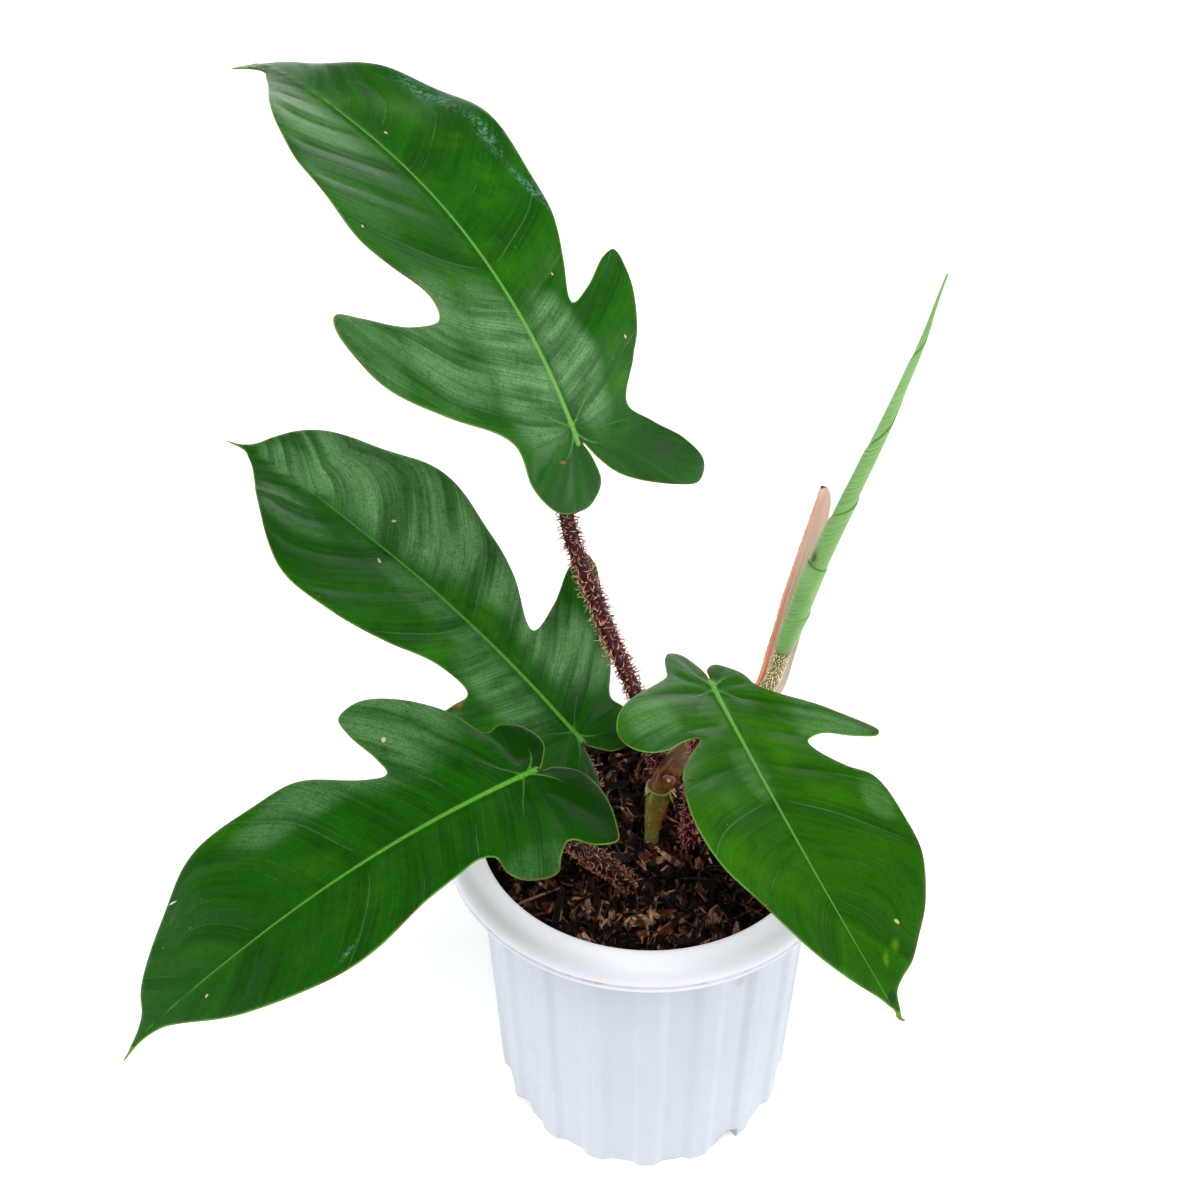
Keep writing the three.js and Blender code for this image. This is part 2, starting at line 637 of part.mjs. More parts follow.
function makeStem() {
  const rod = bentRod(STEM_PATH, stemRadii(), STEM_NET);
  const ring = new THREE.TorusGeometry(STEM_RADIUS, RING_RADIUS - STEM_RADIUS, 5, 12);
  ring.rotateX(-0.6);
  ring.translate(...RING_AT);
  const bud = new THREE.SphereGeometry(BUD_RADIUS, 8, 5);
  bud.translate(...BUD_AT);
  return joinAll([rod.geometry, ring, bud].map(toSolid));
}

// The sheath: a channel open to the front right, closed at its pointed top
function makeSheath() {
  const curve = new THREE.CatmullRomCurve3(SHEATH_PATH.map(vector));
  const steps = 12;
  const fan = 6;
  const spread = THREE.MathUtils.degToRad(SHEATH_SPREAD);
  const geometry = new THREE.BoxGeometry(fan, steps, 1, fan, steps, 1);
  const position = geometry.attributes.position;
  for (let i = 0; i < position.count; i += 1) {
    const t = position.getY(i) / steps + 0.5;
    const angle = (position.getX(i) / fan) * spread;
    const radius = valueAlong(SHEATH_RADII, t) + (position.getZ(i) < 0 ? 0 : -SHEATH_WALL);
    const tangent = curve.getTangentAt(t);
    const across = new THREE.Vector3(1, -0.25, 0).addScaledVector(tangent, -tangent.x).normalize();
    const open = new THREE.Vector3().crossVectors(across, tangent).normalize();
    const place = curve.getPointAt(t)
      .addScaledVector(across, radius * Math.sin(angle))
      .addScaledVector(open, -radius * Math.cos(angle));
    position.setXYZ(i, place.x, place.y, place.z);
  }
  return toSolid(geometry);
}

function buildPlant() {
  const plant = new THREE.Group();
  const leaves = LEAVES.map(makeLeaf);
  const stem = makeStem();
  const socket = stemSocket();
  const holes = joinAll([socket, ...leaves.slice(1).map(({ socket }) => socket)]);
  const soil = largestBody(joinAll([soilBody(), ...soilChips()]).subtract(holes));
  plant.add(toMesh('pot', toGeometry(makePot()), COLOURS.pot));
  plant.add(toMesh('soil', toGeometry(soil), COLOURS.soil));
  plant.add(toMesh('stem', toGeometry(stem), COLOURS.stem));
  leaves.forEach(({ blade, stalk }, i) => {
    const trimmed = i === 0 ? largestBody(stalk.subtract(socket)) : stalk;
    plant.add(toMesh(`${LEAVES[i].name}_petiole`, toGeometry(trimmed), COLOURS.petiole));
    plant.add(toMesh(`${LEAVES[i].name}_blade`, toGeometry(blade), COLOURS.blade));
  });
  const shoot = largestBody(toSolid(bentRod(SHOOT_PATH, SHOOT_RADIUS).geometry).subtract(socket));
  const spear = bentRod(SPEAR_PATH, SPEAR_RADII, { sides: 10, step: 7 }).geometry;
  plant.add(toMesh('new_leaf_petiole', toGeometry(shoot), COLOURS.newStalk));
  plant.add(toMesh('new_leaf_rolled', toGeometry(toSolid(spear)), COLOURS.newLeaf));
  plant.add(toMesh('new_leaf_sheath', toGeometry(makeSheath()), COLOURS.sheath));
  return plant;
}

export default buildPlant();
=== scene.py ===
# A potted Philodendron squamiferum: four lobed leaves on bristly stalks, a new leaf that is
# still rolled, and a white ribbed pot of bark. Lengths are in millimetres until a piece is made.

import math
import random

import bpy
from mathutils import Matrix, Vector, noise
from mathutils.geometry import delaunay_2d_cdt


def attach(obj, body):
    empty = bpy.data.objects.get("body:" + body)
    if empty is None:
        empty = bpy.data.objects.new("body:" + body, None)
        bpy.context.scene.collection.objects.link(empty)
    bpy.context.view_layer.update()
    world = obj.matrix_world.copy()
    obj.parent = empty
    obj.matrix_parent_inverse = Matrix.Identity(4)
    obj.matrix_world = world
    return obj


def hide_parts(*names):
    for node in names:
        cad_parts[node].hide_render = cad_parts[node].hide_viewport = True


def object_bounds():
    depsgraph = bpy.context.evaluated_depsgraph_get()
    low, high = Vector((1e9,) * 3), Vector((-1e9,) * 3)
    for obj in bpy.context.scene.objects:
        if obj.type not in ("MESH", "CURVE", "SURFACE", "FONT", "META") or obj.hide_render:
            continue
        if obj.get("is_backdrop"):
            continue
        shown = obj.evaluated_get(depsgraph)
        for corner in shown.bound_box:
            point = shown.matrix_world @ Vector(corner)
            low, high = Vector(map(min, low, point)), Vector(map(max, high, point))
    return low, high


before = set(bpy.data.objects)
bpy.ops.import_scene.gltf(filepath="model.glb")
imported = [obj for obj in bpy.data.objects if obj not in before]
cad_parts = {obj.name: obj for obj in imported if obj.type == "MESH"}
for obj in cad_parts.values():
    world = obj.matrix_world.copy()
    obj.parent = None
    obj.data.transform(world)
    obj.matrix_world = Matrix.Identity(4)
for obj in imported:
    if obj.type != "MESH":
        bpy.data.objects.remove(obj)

MM = 0.001
UP = Vector((0, 0, 1))
GOLDEN_ANGLE = math.pi * (3 - math.sqrt(5))
CAD_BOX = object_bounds()

# Camera, at the photograph's viewing angle
CAMERA_PLACE = (-17, -348, 503)
CAMERA_PITCH = 36.8
CAMERA_ROLL = -0.54
CAMERA_LENS = 39.0
CAMERA_SENSOR = 36

# Studio, in metres and watts. A sky lamp has the side its light comes from, its strength and its
# spread in degrees; a panel has its place, size and power
SKY_LAMPS = (
    ("overhead_bank", (0.1, -0.35, 1), 1.9, 40),
    ("camera_side_bank", (0, -1, 0.85), 0.4, 35),
    ("left_bank", (-1.3, -0.3, 0.6), 1.5, 40),
    ("right_bank", (1.3, -0.3, 0.6), 1.4, 40),
)
PANELS = (
    ("backdrop_glow", (-0.25, 2.3, 0.62), (3.2, 0.95), 22),
    ("right_panel", (2.4, 0.5, 0.7), (1.6, 0.9), 2),
)
PANEL_TARGET = (0, 0, 0.3)
WORLD_TINT = (0.94, 0.97, 1, 1)
WORLD_STRENGTH = 0.14
FLOOR_REACH = 7
FLOOR_DROP = 0.0003
FLOOR_GLOW = 0.3
SQUARE = ((-1, -1), (1, -1), (1, 1), (-1, 1))

# Pot. Its foot and its lip are points of the turned profile: radius, height, share of flute
POT_FOOT_RADIUS = 62
POT_NECK_RADIUS = 65.2
POT_FOOT = [(30, 0, 0), (57, 0, 0), (60.6, 0, 1), (61.6, 0.25, 1), (62, 0.9, 1)]
POT_WALL = 1.8
POT_FLOOR = 2.4
FLUTE_COUNT = 18
FLUTE_DEPTH = 1.8
FLUTE_RIB = (2.6, 6.4)
FLUTE_TOP = 127
FLUTE_FADE = ((124.5, 1), (125.5, 0.8), (126.3, 0.45), (127, 0.1))
POT_SIDES = 20 * FLUTE_COUNT
WALL_HEIGHTS = range(2, 124, 6)
UNDER_RIM = [(65.2, 128.5), (65.5, 130), (66.6, 131.4), (68.6, 132.7), (71.4, 133.8), (74.6, 134.5)]
BEAD = [(76.2, 134.4), (76.8, 134.8), (77.0, 135.3), (76.8, 135.9), (76.2, 136.4), (75.9, 136.9)]
RIM_CENTRE = (70.2, 138.1)
RIM_RADII = (6.8, 5.9)
ROLL_DEGREES = range(-4, 181, 8)
POT_LIP = [(63.4, 135, 0), (62, 127, 0)]
NOTCH_ANGLES = (-58, 31, 120, 210)
NOTCH_SIZE = (13, 12, 6.4)
NOTCH_SLANT = 0.62

# Where the pot's finish changes, each from one height or radius to another: the rim painted whiter as
# painted light from above, the dusty groove over the bead, the film on the roll, and a painted glow on the rim's
# inner side
RIM_PAINTED_LIGHT_FROM = (133.8, 134.8)
GROOVE_FROM = (135.7, 136.4)
GROOVE_UP_TO = (137.6, 136.8)
FILM_FROM = (136, 139)
PAINTED_GLOW_RADII = (76.5, 69.5)
PAINTED_GLOW_FROM = (132, 136)
PAINTED_RIM_GLOW = 0.38
POT_SMEAR_AT = (32.6, -55.8, 110)
POT_SMEAR_SIZE = (3.2, 6, 4.4)

# Soil. SOIL_SIDE is how far in from its radius the bed's side lies, and at what height. Sizes of
# loose pieces run from the least to the most, and a chip's length then has the commonest
SOIL_TOP = 130
SOIL_RADIUS = 61.6
SOIL_LOW_RADIUS = 58.4
SOIL_FOOT = 2.8
SOIL_SIDE = ((0.8, 100), (0.2, 125))
SOIL_SIDES = 200
SOIL_BUMP = 1.6
CHIP_COUNT = 1600
CHIP_SEED = 31
CHIP_STATIONS = 5
CHIP_SECTION = ((-1, -0.7), (1, -1), (1, 0.8), (0.1, 1.3), (-1, 1))
CHIP_LENGTHS = (3, 23, 7)
CHIP_WIDTHS = (1.4, 4.2)
CHIP_THICKNESSES = (0.5, 1.5)
LONG_CHIP = 11
LONG_CHIP_WIDTHS = (1.4, 6)
CRUMB_COUNT = 1300
CRUMB_SIZES = (0.6, 2.0)
FIBRE_COUNT = 150
FIBRE_SEED = 37
FIBRE_POINTS = 5
FIBRE_STEP = 1.2
FIBRE_LENGTHS = (5, 17)
FIBRE_THICKNESSES = (0.12, 0.3)

# A long stick and a pale rootlet that lie as in the photograph: points, thickness, paleness
LONG_FIBRES = [([(-54, -41.3, 134), (-43, -37, 136), (-31.9, -31.8, 136)], 0.6, 1.0),
               ([(-32.9, -37.4, 134.6), (-31.7, -42, 136), (-32.4, -46.1, 134.6)], 0.34, 1.0)]

# Leaf blades
BLADE_HALF = 0.32
MARGIN_HALF = 0.14
BLADE_STEP = 1.3
MARGIN_CLEARANCE = 0.55 * BLADE_STEP
EDGE_REACH = 8.0
RIB_ROWS = (0, 0.45, 0.95, 1.5, 2.2, 3.1)
FOLD_ROUNDING = 3
WAVE_HEIGHT = 1.2
WAVE_LENGTH = 46
WAVE_REACH = 40
LOBE_HANG_OUT = (36, 62)
LOBE_HANG_END = (52, 68)
VALLEY_WIDTH = 5.5
RIB_HALF_WIDTHS = (1.12, 0.16)
RIB_RIDGE = 0.45
RIB_TROUGH = 0.28
RIB_KEEL_DEPTH = 1.7
RIB_KEEL_WIDTH = 1.6

# Relief between the veins: how high the panels bulge by the joint and further out, in three sizes,
# how much the blade is slack, and the height of a panel that counts as level
PANEL_BULGE = (1.05, 0.5)
MINOR_BULGE = (0.2, 0.1)
FINE_BULGE = 0.07
SLACK = 0.9
PANEL_LEVEL = 0.64

# Veins. Those of the joint run into the lobes, and have a half width at each end
VEIN_FAN = 4
VEIN_SWEEP = 0.3
VEIN_CURVE = 0.0048
VEIN_GATHER = 0.17
GATHER_EASE = 5
GATHER_LIMIT = 4
FAN_SPREAD = 33
VEIN_STEP = 19
VEIN_SHIFT = 1
VEIN_WANDER = 3.2
HAIRLINE_STEP = 1.9
JOINT_VEINS = [[(2.5, 0.3), (0, 2.5), (-3, 6.5), (-4.5, 10)], [(4, 0), (8, 6.5), (11, 11), (14, 17)]]
JOINT_VEIN_WIDTHS = ((0.6, 0.15), (0.4, 0.1))

# Kinds of mark on a blade: the colour of each, and how much of it shows
MARK_KINDS = {
    "dry": ((214, 186, 150), 0.9),
    "worn": ((150, 84, 62), 0.75),
    "dust": ((128, 180, 166), 0.48),
    "yellow": ((132, 172, 10), 0.34),
    "dark": ((34, 48, 30), 0.7),
    "scratch": ((226, 230, 222), 0.95),
    "maroon": ((74, 28, 36), 0.95),
}

# Colours of a stalk and its bristles: the stalk's own pair, the bristles' roots and their tips
MAROON_TINTS = (
    ((28, 3, 8), (70, 12, 22)),
    ((96, 18, 30), (166, 60, 52)),
    ((224, 128, 108), (255, 238, 200)),
)
HUSKY_TINTS = (
    ((16, 3, 2), (44, 12, 8)),
    ((60, 16, 9), (120, 50, 30)),
    ((176, 106, 74), (242, 192, 152)),
)
ROSY_TINTS = (
    ((44, 8, 14), (86, 20, 34)),
    ((150, 36, 60), (212, 80, 100)),
    ((246, 136, 144), (255, 226, 214)),
)

# Each leaf's blade runs from the petiole joint (base) to the tip.
# turn, in degrees: roll turns the blade about that line, arch is the droop of the midrib, fold
# lifts both halves and bow swings the midrib to the left.
# outline runs round the flat blade, times size: x along the midrib, y away from it, on the left
# as far as the point numbered tip_index and on the right after that.
# lobe_drop lets the left side lobe hang, and swing leads the midrib sideways near the tip.
# youth is the share of young bright green, depth paints shade over the whole blade, lobe_painted_shade
# paints shade on the lobes behind the joint, and shine is the gloss of the wax.
# bloom_and_painted_sheen, a pale bloom that also paints the leaf's sheen, lies in ovals: x, y, half length,
# half width, amount. valleys are folds from one place to another, with a depth. marks are ovals too:
# kind, x, y, half length, half width, turn.
LEAVES = {
    "leaf_1": {
        "base": (-24, 11.5, 297.5), "tip": (-135.5, 106.5, 385.5),
        "turn": {"roll": 8, "arch": 61, "fold": 7, "bow": 0},
        "size": 1, "tip_index": 25, "lobe_drop": 0, "swing": -9,
        "youth": 0.3, "depth": 0.12, "lobe_painted_shade": 0.15, "shine": 0.14,
        "bloom_and_painted_sheen": [
            (138, 17, 40, 12, 0.45), (100, 34, 40, 12, 0.15), (24, -12, 26, 11, 0.8),
            (28, 13, 30, 18, 0.84), (42, 38, 24, 22, 0.6), (50, 70, 22, 17, 0.4),
        ],
        "valleys": [((0, -1), (19, -37), 1.3), ((0, 3), (4, 28), 0.5)],
        "marks": [
            ("dry", 23.2, -36.9, 0.7, 0.5, 0), ("dry", 50.6, -21.8, 0.5, 0.4, 0),
            ("dry", 118.6, -7.1, 0.8, 0.5, 0), ("dry", 81.8, 39.6, 0.5, 0.4, 0),
            ("worn", -4.3, 11.2, 1.6, 0.5, 70), ("dust", 131, -39, 19, 5.5, 3),
            ("dust", 105, -39, 13, 4, -12), ("dust", 80, -37.5, 16, 3, 4),
            ("maroon", -0.7, -1.9, 1.5, 0.9, 40),
        ],
        "outline": [
            (-1.4, -2.4), (-8, -4.5), (-16, -5), (-21, 2), (-20.5, 12), (-17, 21), (-6, 29.5), (6, 30),
            (22, 53), (38, 73), (51, 78.5), (56.5, 75), (54, 66), (48, 50), (48, 37), (55, 34.5),
            (67, 40), (82, 45), (101, 43), (129, 30), (143, 20.5), (157.8, 7.3), (166.7, 0.1),
            (172.5, -4.2), (178, -3.6), (182.8, 0.6),
            (183.8, 3.2), (182.4, 7.9), (180.4, 11.3), (176, 18), (166, 24), (147.5, 39), (120, 47.5),
            (85, 43), (53, 29), (40, 23.5),
            (43, 34), (50, 47), (50.5, 53), (40, 53), (26, 45), (16, 36.5), (3.5, 27), (-5, 36),
            (-15, 48), (-25, 54), (-30.5, 50), (-28, 38), (-16.5, 14.5), (-8.5, 6.8),
        ],
        "petiole": {
            "radius": (2.9, 2.4), "start": (4.5, 8, 156),
            "bristles": 1250, "seed": 21, "tints": MAROON_TINTS,
            "path": [(3.2, 10, 164), (-2.7, 10, 187), (-13.3, 10, 219), (-19.7, 10.5, 239.5),
                     (-25.8, 11, 258.5), (-27.8, 12, 270.5), (-27.6, 13, 282)],
        },
    },
    "leaf_2": {
        "base": (-24.5, 5.5, 174), "tip": (-152.5, 75, 260.5),
        "turn": {"roll": 4, "arch": 27, "fold": 7, "bow": 2},
        "size": 1.025, "tip_index": 22, "lobe_drop": 14, "swing": -3,
        "youth": 0.1, "depth": 0.0, "lobe_painted_shade": 0.4, "shine": 0.14,
        "bloom_and_painted_sheen": [
            (138, 15, 22, 9, 0.4), (112, -24, 56, 24, 0.85), (146, -8, 20, 10, 0.9),
            (70, 6, 44, 8, 0.3), (72, -24, 34, 14, 0.6), (30, -25, 24, 18, 0.75),
            (34, 14, 24, 14, 0.45),
        ],
        "valleys": [((0, -2), (38, -19), 0.8), ((0, 3), (-2, 26), 0.6)],
        "marks": [
            ("dry", 106.7, -13.7, 1.1, 0.6, 60), ("dry", 98.7, 6.6, 1.2, 0.7, -40),
            ("worn", 43, 36, 3.2, 2.2, 80), ("maroon", -1.8, 0.5, 1.4, 1, 0),
        ],
        "outline": [
            (-2.5, 0.5), (-7, 3), (-12, 5.5), (-19, 12), (-18, 24), (-8, 31), (4, 27), (14, 38),
            (36, 60), (46, 64), (47, 56), (43, 38), (42, 27), (55, 27), (73, 35.5), (93, 43.5),
            (115, 40), (141, 19.6), (148.7, 11.4), (154, 5.8), (158.9, 1.9), (162.5, -0.2), (170.5, 0.7),
            (168, 0.4), (164.3, 2.6), (161.6, 7), (160, 12.5), (156.2, 20.8), (147, 30), (124, 41.5),
            (97, 46), (60, 30.5), (40, 19), (41, 36), (46, 52),
            (47, 64.5), (40, 65), (33.5, 59), (9, 33), (1.5, 24), (-5, 26), (-12, 24), (-15, 16),
            (-12, 8), (-7, 3.5),
        ],
        "petiole": {
            "radius": (2.8, 2.4), "start": (-20, 3, 116),
            "bristles": 460, "seed": 22, "tints": MAROON_TINTS,
            "path": [(-20, 3, 130), (-20.5, 5, 145), (-23, 7, 157), (-26, 8.5, 165)],
        },
    },
    "leaf_3": {
        "base": (-38.5, -48.5, 211), "tip": (-161, -114, 157.5),
        "turn": {"roll": 2, "arch": 48, "fold": 3, "bow": 15},
        "size": 0.95, "tip_index": 22, "lobe_drop": 0, "swing": -2,
        "youth": 0.15, "depth": 0.36, "lobe_painted_shade": 0.9, "shine": 0.06,
        "bloom_and_painted_sheen": [(32, -44, 28, 26, 0.68), (64, -36, 36, 11, 0.5), (20, 36, 12, 9, 0.3)],
        "valleys": [((2, 3), (8, 36), 1.7), ((-1, -3), (3, -28), 1.7)],
        "marks": [
            ("dry", 119.6, 5.3, 0.7, 0.5, 0), ("dry", 34, -41.4, 1.2, 0.8, 70),
            ("scratch", 123, -35.1, 1.9, 0.28, -20), ("dust", 76, 27, 6, 1.2, 30),
            ("maroon", -1.8, 0.5, 1.2, 0.9, 0),
        ],
        "outline": [
            (-2.5, 0.5), (-7, 2), (-13, 9), (-13, 21), (-7, 37), (-2, 44.5), (4, 42), (8, 34),
            (14, 39), (19, 45), (27, 41), (30, 35), (30, 27), (34, 24.5), (42, 26), (54, 28.5),
            (71, 33.5), (89, 33), (113, 23.4), (138.2, 6.5), (144.6, 2.6), (150.2, 0.6), (157, -0.5),
            (165.5, 0),
            (162, 1.3), (158.6, 3.2), (155, 5.9), (152.8, 9), (151, 17), (140, 32), (116, 47),
            (94, 50.5), (73, 47), (50, 32), (42, 29),
            (42, 38), (45.5, 55), (45, 65), (36, 67), (22, 57), (9, 40), (3, 26.5), (-3, 27),
            (-9, 22), (-11, 11), (-5.5, 3),
        ],
        "petiole": {
            "radius": (2.8, 2.4), "start": (3, -27, 118),
            "bristles": 1150, "seed": 23, "tints": HUSKY_TINTS,
            "path": [(-5, -28, 130), (-18, -29.5, 147), (-29, -31, 161), (-36, -36, 178),
                     (-38.5, -43, 195)],
        },
    },
    "leaf_4": {
        "base": (22.5, 6, 200.5), "tip": (67.5, -120, 181.5),
        "turn": {"roll": -17, "arch": 20, "fold": 9, "bow": -21},
        "size": 1, "tip_index": 25, "lobe_drop": 0, "swing": 0,
        "youth": 0.6, "depth": 0.05, "lobe_painted_shade": 0.2, "shine": 0.1,
        "bloom_and_painted_sheen": [
            (31, -34, 16, 12, 0.38), (26, 36, 22, 15, 0.34), (47, -3, 14, 7, 0.25),
            (66, 36, 11, 6, 0.25),
        ],
        "valleys": [((0, 2), (30, 27), 0.7), ((0, -2), (30, -18), 0.8)],
        "marks": [
            ("dry", 111.1, 17.2, 1.1, 0.6, 20), ("yellow", 117.6, 12.5, 3.2, 1.8, -40),
            ("yellow", 120.5, 7, 3.4, 1.2, -30), ("dark", 131.4, 1.8, 2.4, 1.5, -60),
            ("maroon", 54.4, -31, 3.4, 0.8, 104), ("maroon", -1.7, 0.5, 1.3, 0.9, 0),
        ],
        "outline": [
            (-2.5, 0.5), (-9, 1), (-12.5, 5), (-10, 10), (-6, 14), (1, 16.5), (6, 21.5), (19, 40),
            (27.5, 50), (32, 53), (35.3, 50.5), (34.3, 42), (31, 31), (35, 24), (49, 31.5),
            (56, 39), (70, 42.5), (88, 40), (108, 30.5), (118, 21.5), (124.2, 14.8), (127.6, 8.6),
            (130.2, 5),
            (133, 3.3), (135.2, 2.5), (137.5, 1.3), (139, -2.2),
            (137.3, 0.3), (135.2, -0.5), (133.2, 0.6), (130.5, 2.1), (122, 10), (110, 19.5), (95, 27.5),
            (83, 34.5), (67, 38), (50, 31.5), (33.3, 17), (36.5, 25), (41.5, 34), (43.3, 42), (42, 48),
            (38, 50.4), (31.5, 48.6), (25.6, 44.3), (20.6, 39), (14.6, 31.7), (6.9, 23.3),
            (1.5, 18.6), (-3.5, 17.4), (-10, 15.8), (-14.8, 12.8), (-15.8, 7), (-9, 1.5),
        ],
        "petiole": {
            "radius": (2.4, 2.3), "start": (15.4, -8, 118),
            "bristles": 560, "seed": 24, "tints": ROSY_TINTS,
            "path": [(15.8, -8, 134), (16.6, -8, 164), (17, -7, 181), (18, -3, 190)],
        },
    },
}

# Where a petiole meets its blade: how far ahead of the joint, from how far below, and how deep
JOINT_INSET = 2.6
JOINT_APPROACH = 7
JOINT_SINK = 0.35

# Bristles: the shortest and the longest, the thinnest and the thickest, and their curl in radians.
# BRISTLE_SINK is where in the stalk they start, as a share of its radius
PETIOLE_SIDES = 22
BRISTLE_RINGS = 5
BRISTLE_SINK = 0.93
BRISTLE_LENGTHS = (1.9, 4.2)
BRISTLE_THICKNESSES = (0.17, 0.29)
BRISTLE_CURLS = (0.8, 3.7)

# Stem, with the scar of an old leaf between its two lengths and a bud above the scar. A shred of
# the old sheath has its angle round the scar and its length
STALK_STEP = 0.8
STEM_PATH = [(1.4, -8, 96), (1.4, -8, 130), (2.4, -4, 141), (4.6, 1.5, 150), (7.4, 4.8, 156.5),
             (12.4, 8, 161.8), (18, 10.8, 166), (21.5, 12, 169.5)]
STEM_RADII = (2.5, 2.5, 2.5, 2.6, 2.8, 4.4, 4.8, 4.8, 4.3)
STEM_SIDES = 40
SCAR_AT = (4.9, 2.2, 153.2)
SCAR_RADIUS = 4.7
SCAR_POINTS = 48
SHREDS = ((190, 3.6), (206, 2.6), (172, 4.6), (338, 3.4), (352, 2.4), (318, 4.2))
SHRED_SEED = 41
SHRED_SIDES = 8
RING_SIDES = 8
BUD_AT = (8.2, 0.6, 158.2)
BUD_STEPS_UP = 12
BUD_RADIUS = 1.15
BUD_LENGTH = 1.7
BUD_SINK = 0.5
BUD_RINGS = 9
BUD_SIDES = 20
BUD_COLLAR_RADIUS = 1.95
BUD_COLLAR_POINTS = 32

# The second number of the stem's mark: its dry parts and its bud. The stem itself has 0
DRY_PART = 1
BUD_PART = 2

# New growth: the warty stalk
SHOOT_PATH = [(18.4, 11, 169.7), (22, 12.2, 171.5), (32, 14, 175.5), (40.5, 15.5, 183), (45, 16, 191),
              (48.9, 16, 207.3)]
SHOOT_RADII = (3.0, 2.7)
SHOOT_SIDES = 26
WART_COUNT = 900
WART_SEED = 51
WART_SINK = 0.88
WART_LENGTHS = (0.6, 1.0)
WART_THICKNESSES = (0.34, 0.48)
WART_CURLS = (-1.2, 1.2)

# The rolled leaf. Its wraps say where its free edge lies: share of the length, degrees round it.
# The collar's edge lies at these two shares, and the hollow over it at an angle and a height
SPEAR_PATH = [(49, 16, 207.7), (52.7, 16, 223.5), (57.9, 16, 245), (63.8, 16, 265), (70.5, 16, 286.5),
              (76.8, 16, 308), (82.2, 16, 328.5), (85, 16, 343), (86.4, 16, 349.5)]
SPEAR_RADII = (2.7, 3.4, 3.4, 3.2, 3, 2.5, 2.2, 1.7, 1.3, 0.7, 0.3)
SPEAR_WRAPS = ((0, 30), (0.087, 75), (0.134, 285), (0.389, 435), (0.466, 645), (0.58, 800), (0.66, 950),
               (0.76, 1005), (0.85, 1290), (0.92, 1360), (1, 1500))
SPEAR_COLLAR = (0.262, 0.258)
COLLAR_THICKNESS = 0.32
HOLLOW_AT = (112, 2.8)
HOLLOW_SIZE = (26, 2.8)
HOLLOW_DEPTH = 0.8
ROLL_STEP = 0.36
ROLL_SIDES = 90

# The sheath. SHEATH_THICK is how thick its warty left edge is at the foot and at the tip
SHEATH_PATH = [(37.5, 15.2, 180), (40.6, 15.7, 183.5), (44.7, 16.8, 190.5), (47.6, 18.2, 203),
               (50.2, 19.3, 215), (52, 20.4, 226), (55.3, 22, 243), (57.8, 23.2, 258), (60, 24.3, 270.5)]
SHEATH_RADII = (4.3, 4.5, 4.8, 5, 4.9, 4.5, 4, 3.2, 2.5)
SHEATH_ACROSS = (1, -0.25, 0)
SHEATH_SPREAD = 150
SHEATH_FLARE = 1.9
SHEATH_FAN = 36
SHEATH_THIN = 0.42
SHEATH_THICK = (1.5, 1.0)
# Strength of the sheath's painted glow
PAINTED_SHEATH_GLOW = 0.08


# Small sums

def clamp(value, low=0.0, high=1.0):
    return min(max(value, low), high)


def smoothstep(value, low, high):
    share = clamp((value - low) / (high - low))
    return share * share * (3 - 2 * share)


def lerp(a, b, share):
    return a + (b - a) * share


def value_along(values, share):
    """The value at a share of an evenly spaced list."""
    place = clamp(share) * (len(values) - 1)
    low = min(int(place), len(values) - 2)
    return lerp(values[low], values[low + 1], place - low)


def hump(distance, width):
    return math.exp(-((distance / width) ** 2))


# Paths

def curve_through(points, closed=False, parts=14):
    """A dense row of points on the centripetal Catmull-Rom curve through the given ones."""
    points = [Vector(point) for point in points]
    count = len(points)
    row = []
    for i in range(count if closed else count - 1):
        start = points[i]
        end = points[(i + 1) % count]
        before = points[i - 1] if closed or i > 0 else 2 * start - end
        after = points[(i + 2) % count] if closed or i + 2 < count else 2 * end - start
        first = (start - before).length ** 0.5
        middle = (end - start).length ** 0.5
        last = (after - end).length ** 0.5
        leave = middle * ((start - before) / first - (end - before) / (first + middle)) + (end - start)
        arrive = (end - start) - middle * ((after - start) / (middle + last) - (after - end) / last)
        for part in range(parts):
            t = part / parts
            near = (1 + 2 * t) * (1 - t) ** 2
            row.append(near * start + (1 - near) * end + t * (1 - t) * ((1 - t) * leave - t * arrive))
    if not closed:
        row.append(points[-1])
    return row


def spaced(row, step, closed=False):
    """Points about a step apart along a row."""
    ring = row + row[:1] if closed else row
    lengths = [0.0]
    for a, b in zip(ring, ring[1:]):
        lengths.append(lengths[-1] + (b - a).length)
    count = max(2, round(lengths[-1] / step))
    result = []
    place = 0
    for i in range(count if closed else count + 1):
        target = lengths[-1] * i / count
        while place < len(ring) - 2 and lengths[place + 1] < target:
            place += 1
        span = max(lengths[place + 1] - lengths[place], 1e-9)
        result.append(ring[place].lerp(ring[place + 1], clamp((target - lengths[place]) / span)))
    return result


def tangent_at(row, i):
    return (row[min(i + 1, len(row) - 1)] - row[max(i - 1, 0)]).normalized()


def frames_along(row):
    """(tangent, side, other side) at each point of a row, carried along it without twist."""
    frames = []
    side = Vector((0, 1, 0))
    for i in range(len(row)):
        tangent = tangent_at(row, i)
        side = (side - tangent * side.dot(tangent)).normalized()
        frames.append((tangent, side, tangent.cross(side)))
    return frames


def angles_round(count):
    return [2 * math.pi * k / count for k in range(count)]


def spoke(side, other, angle):
    """The direction at an angle from side towards other."""
    return side * math.cos(angle) + other * math.sin(angle)


# Meshes

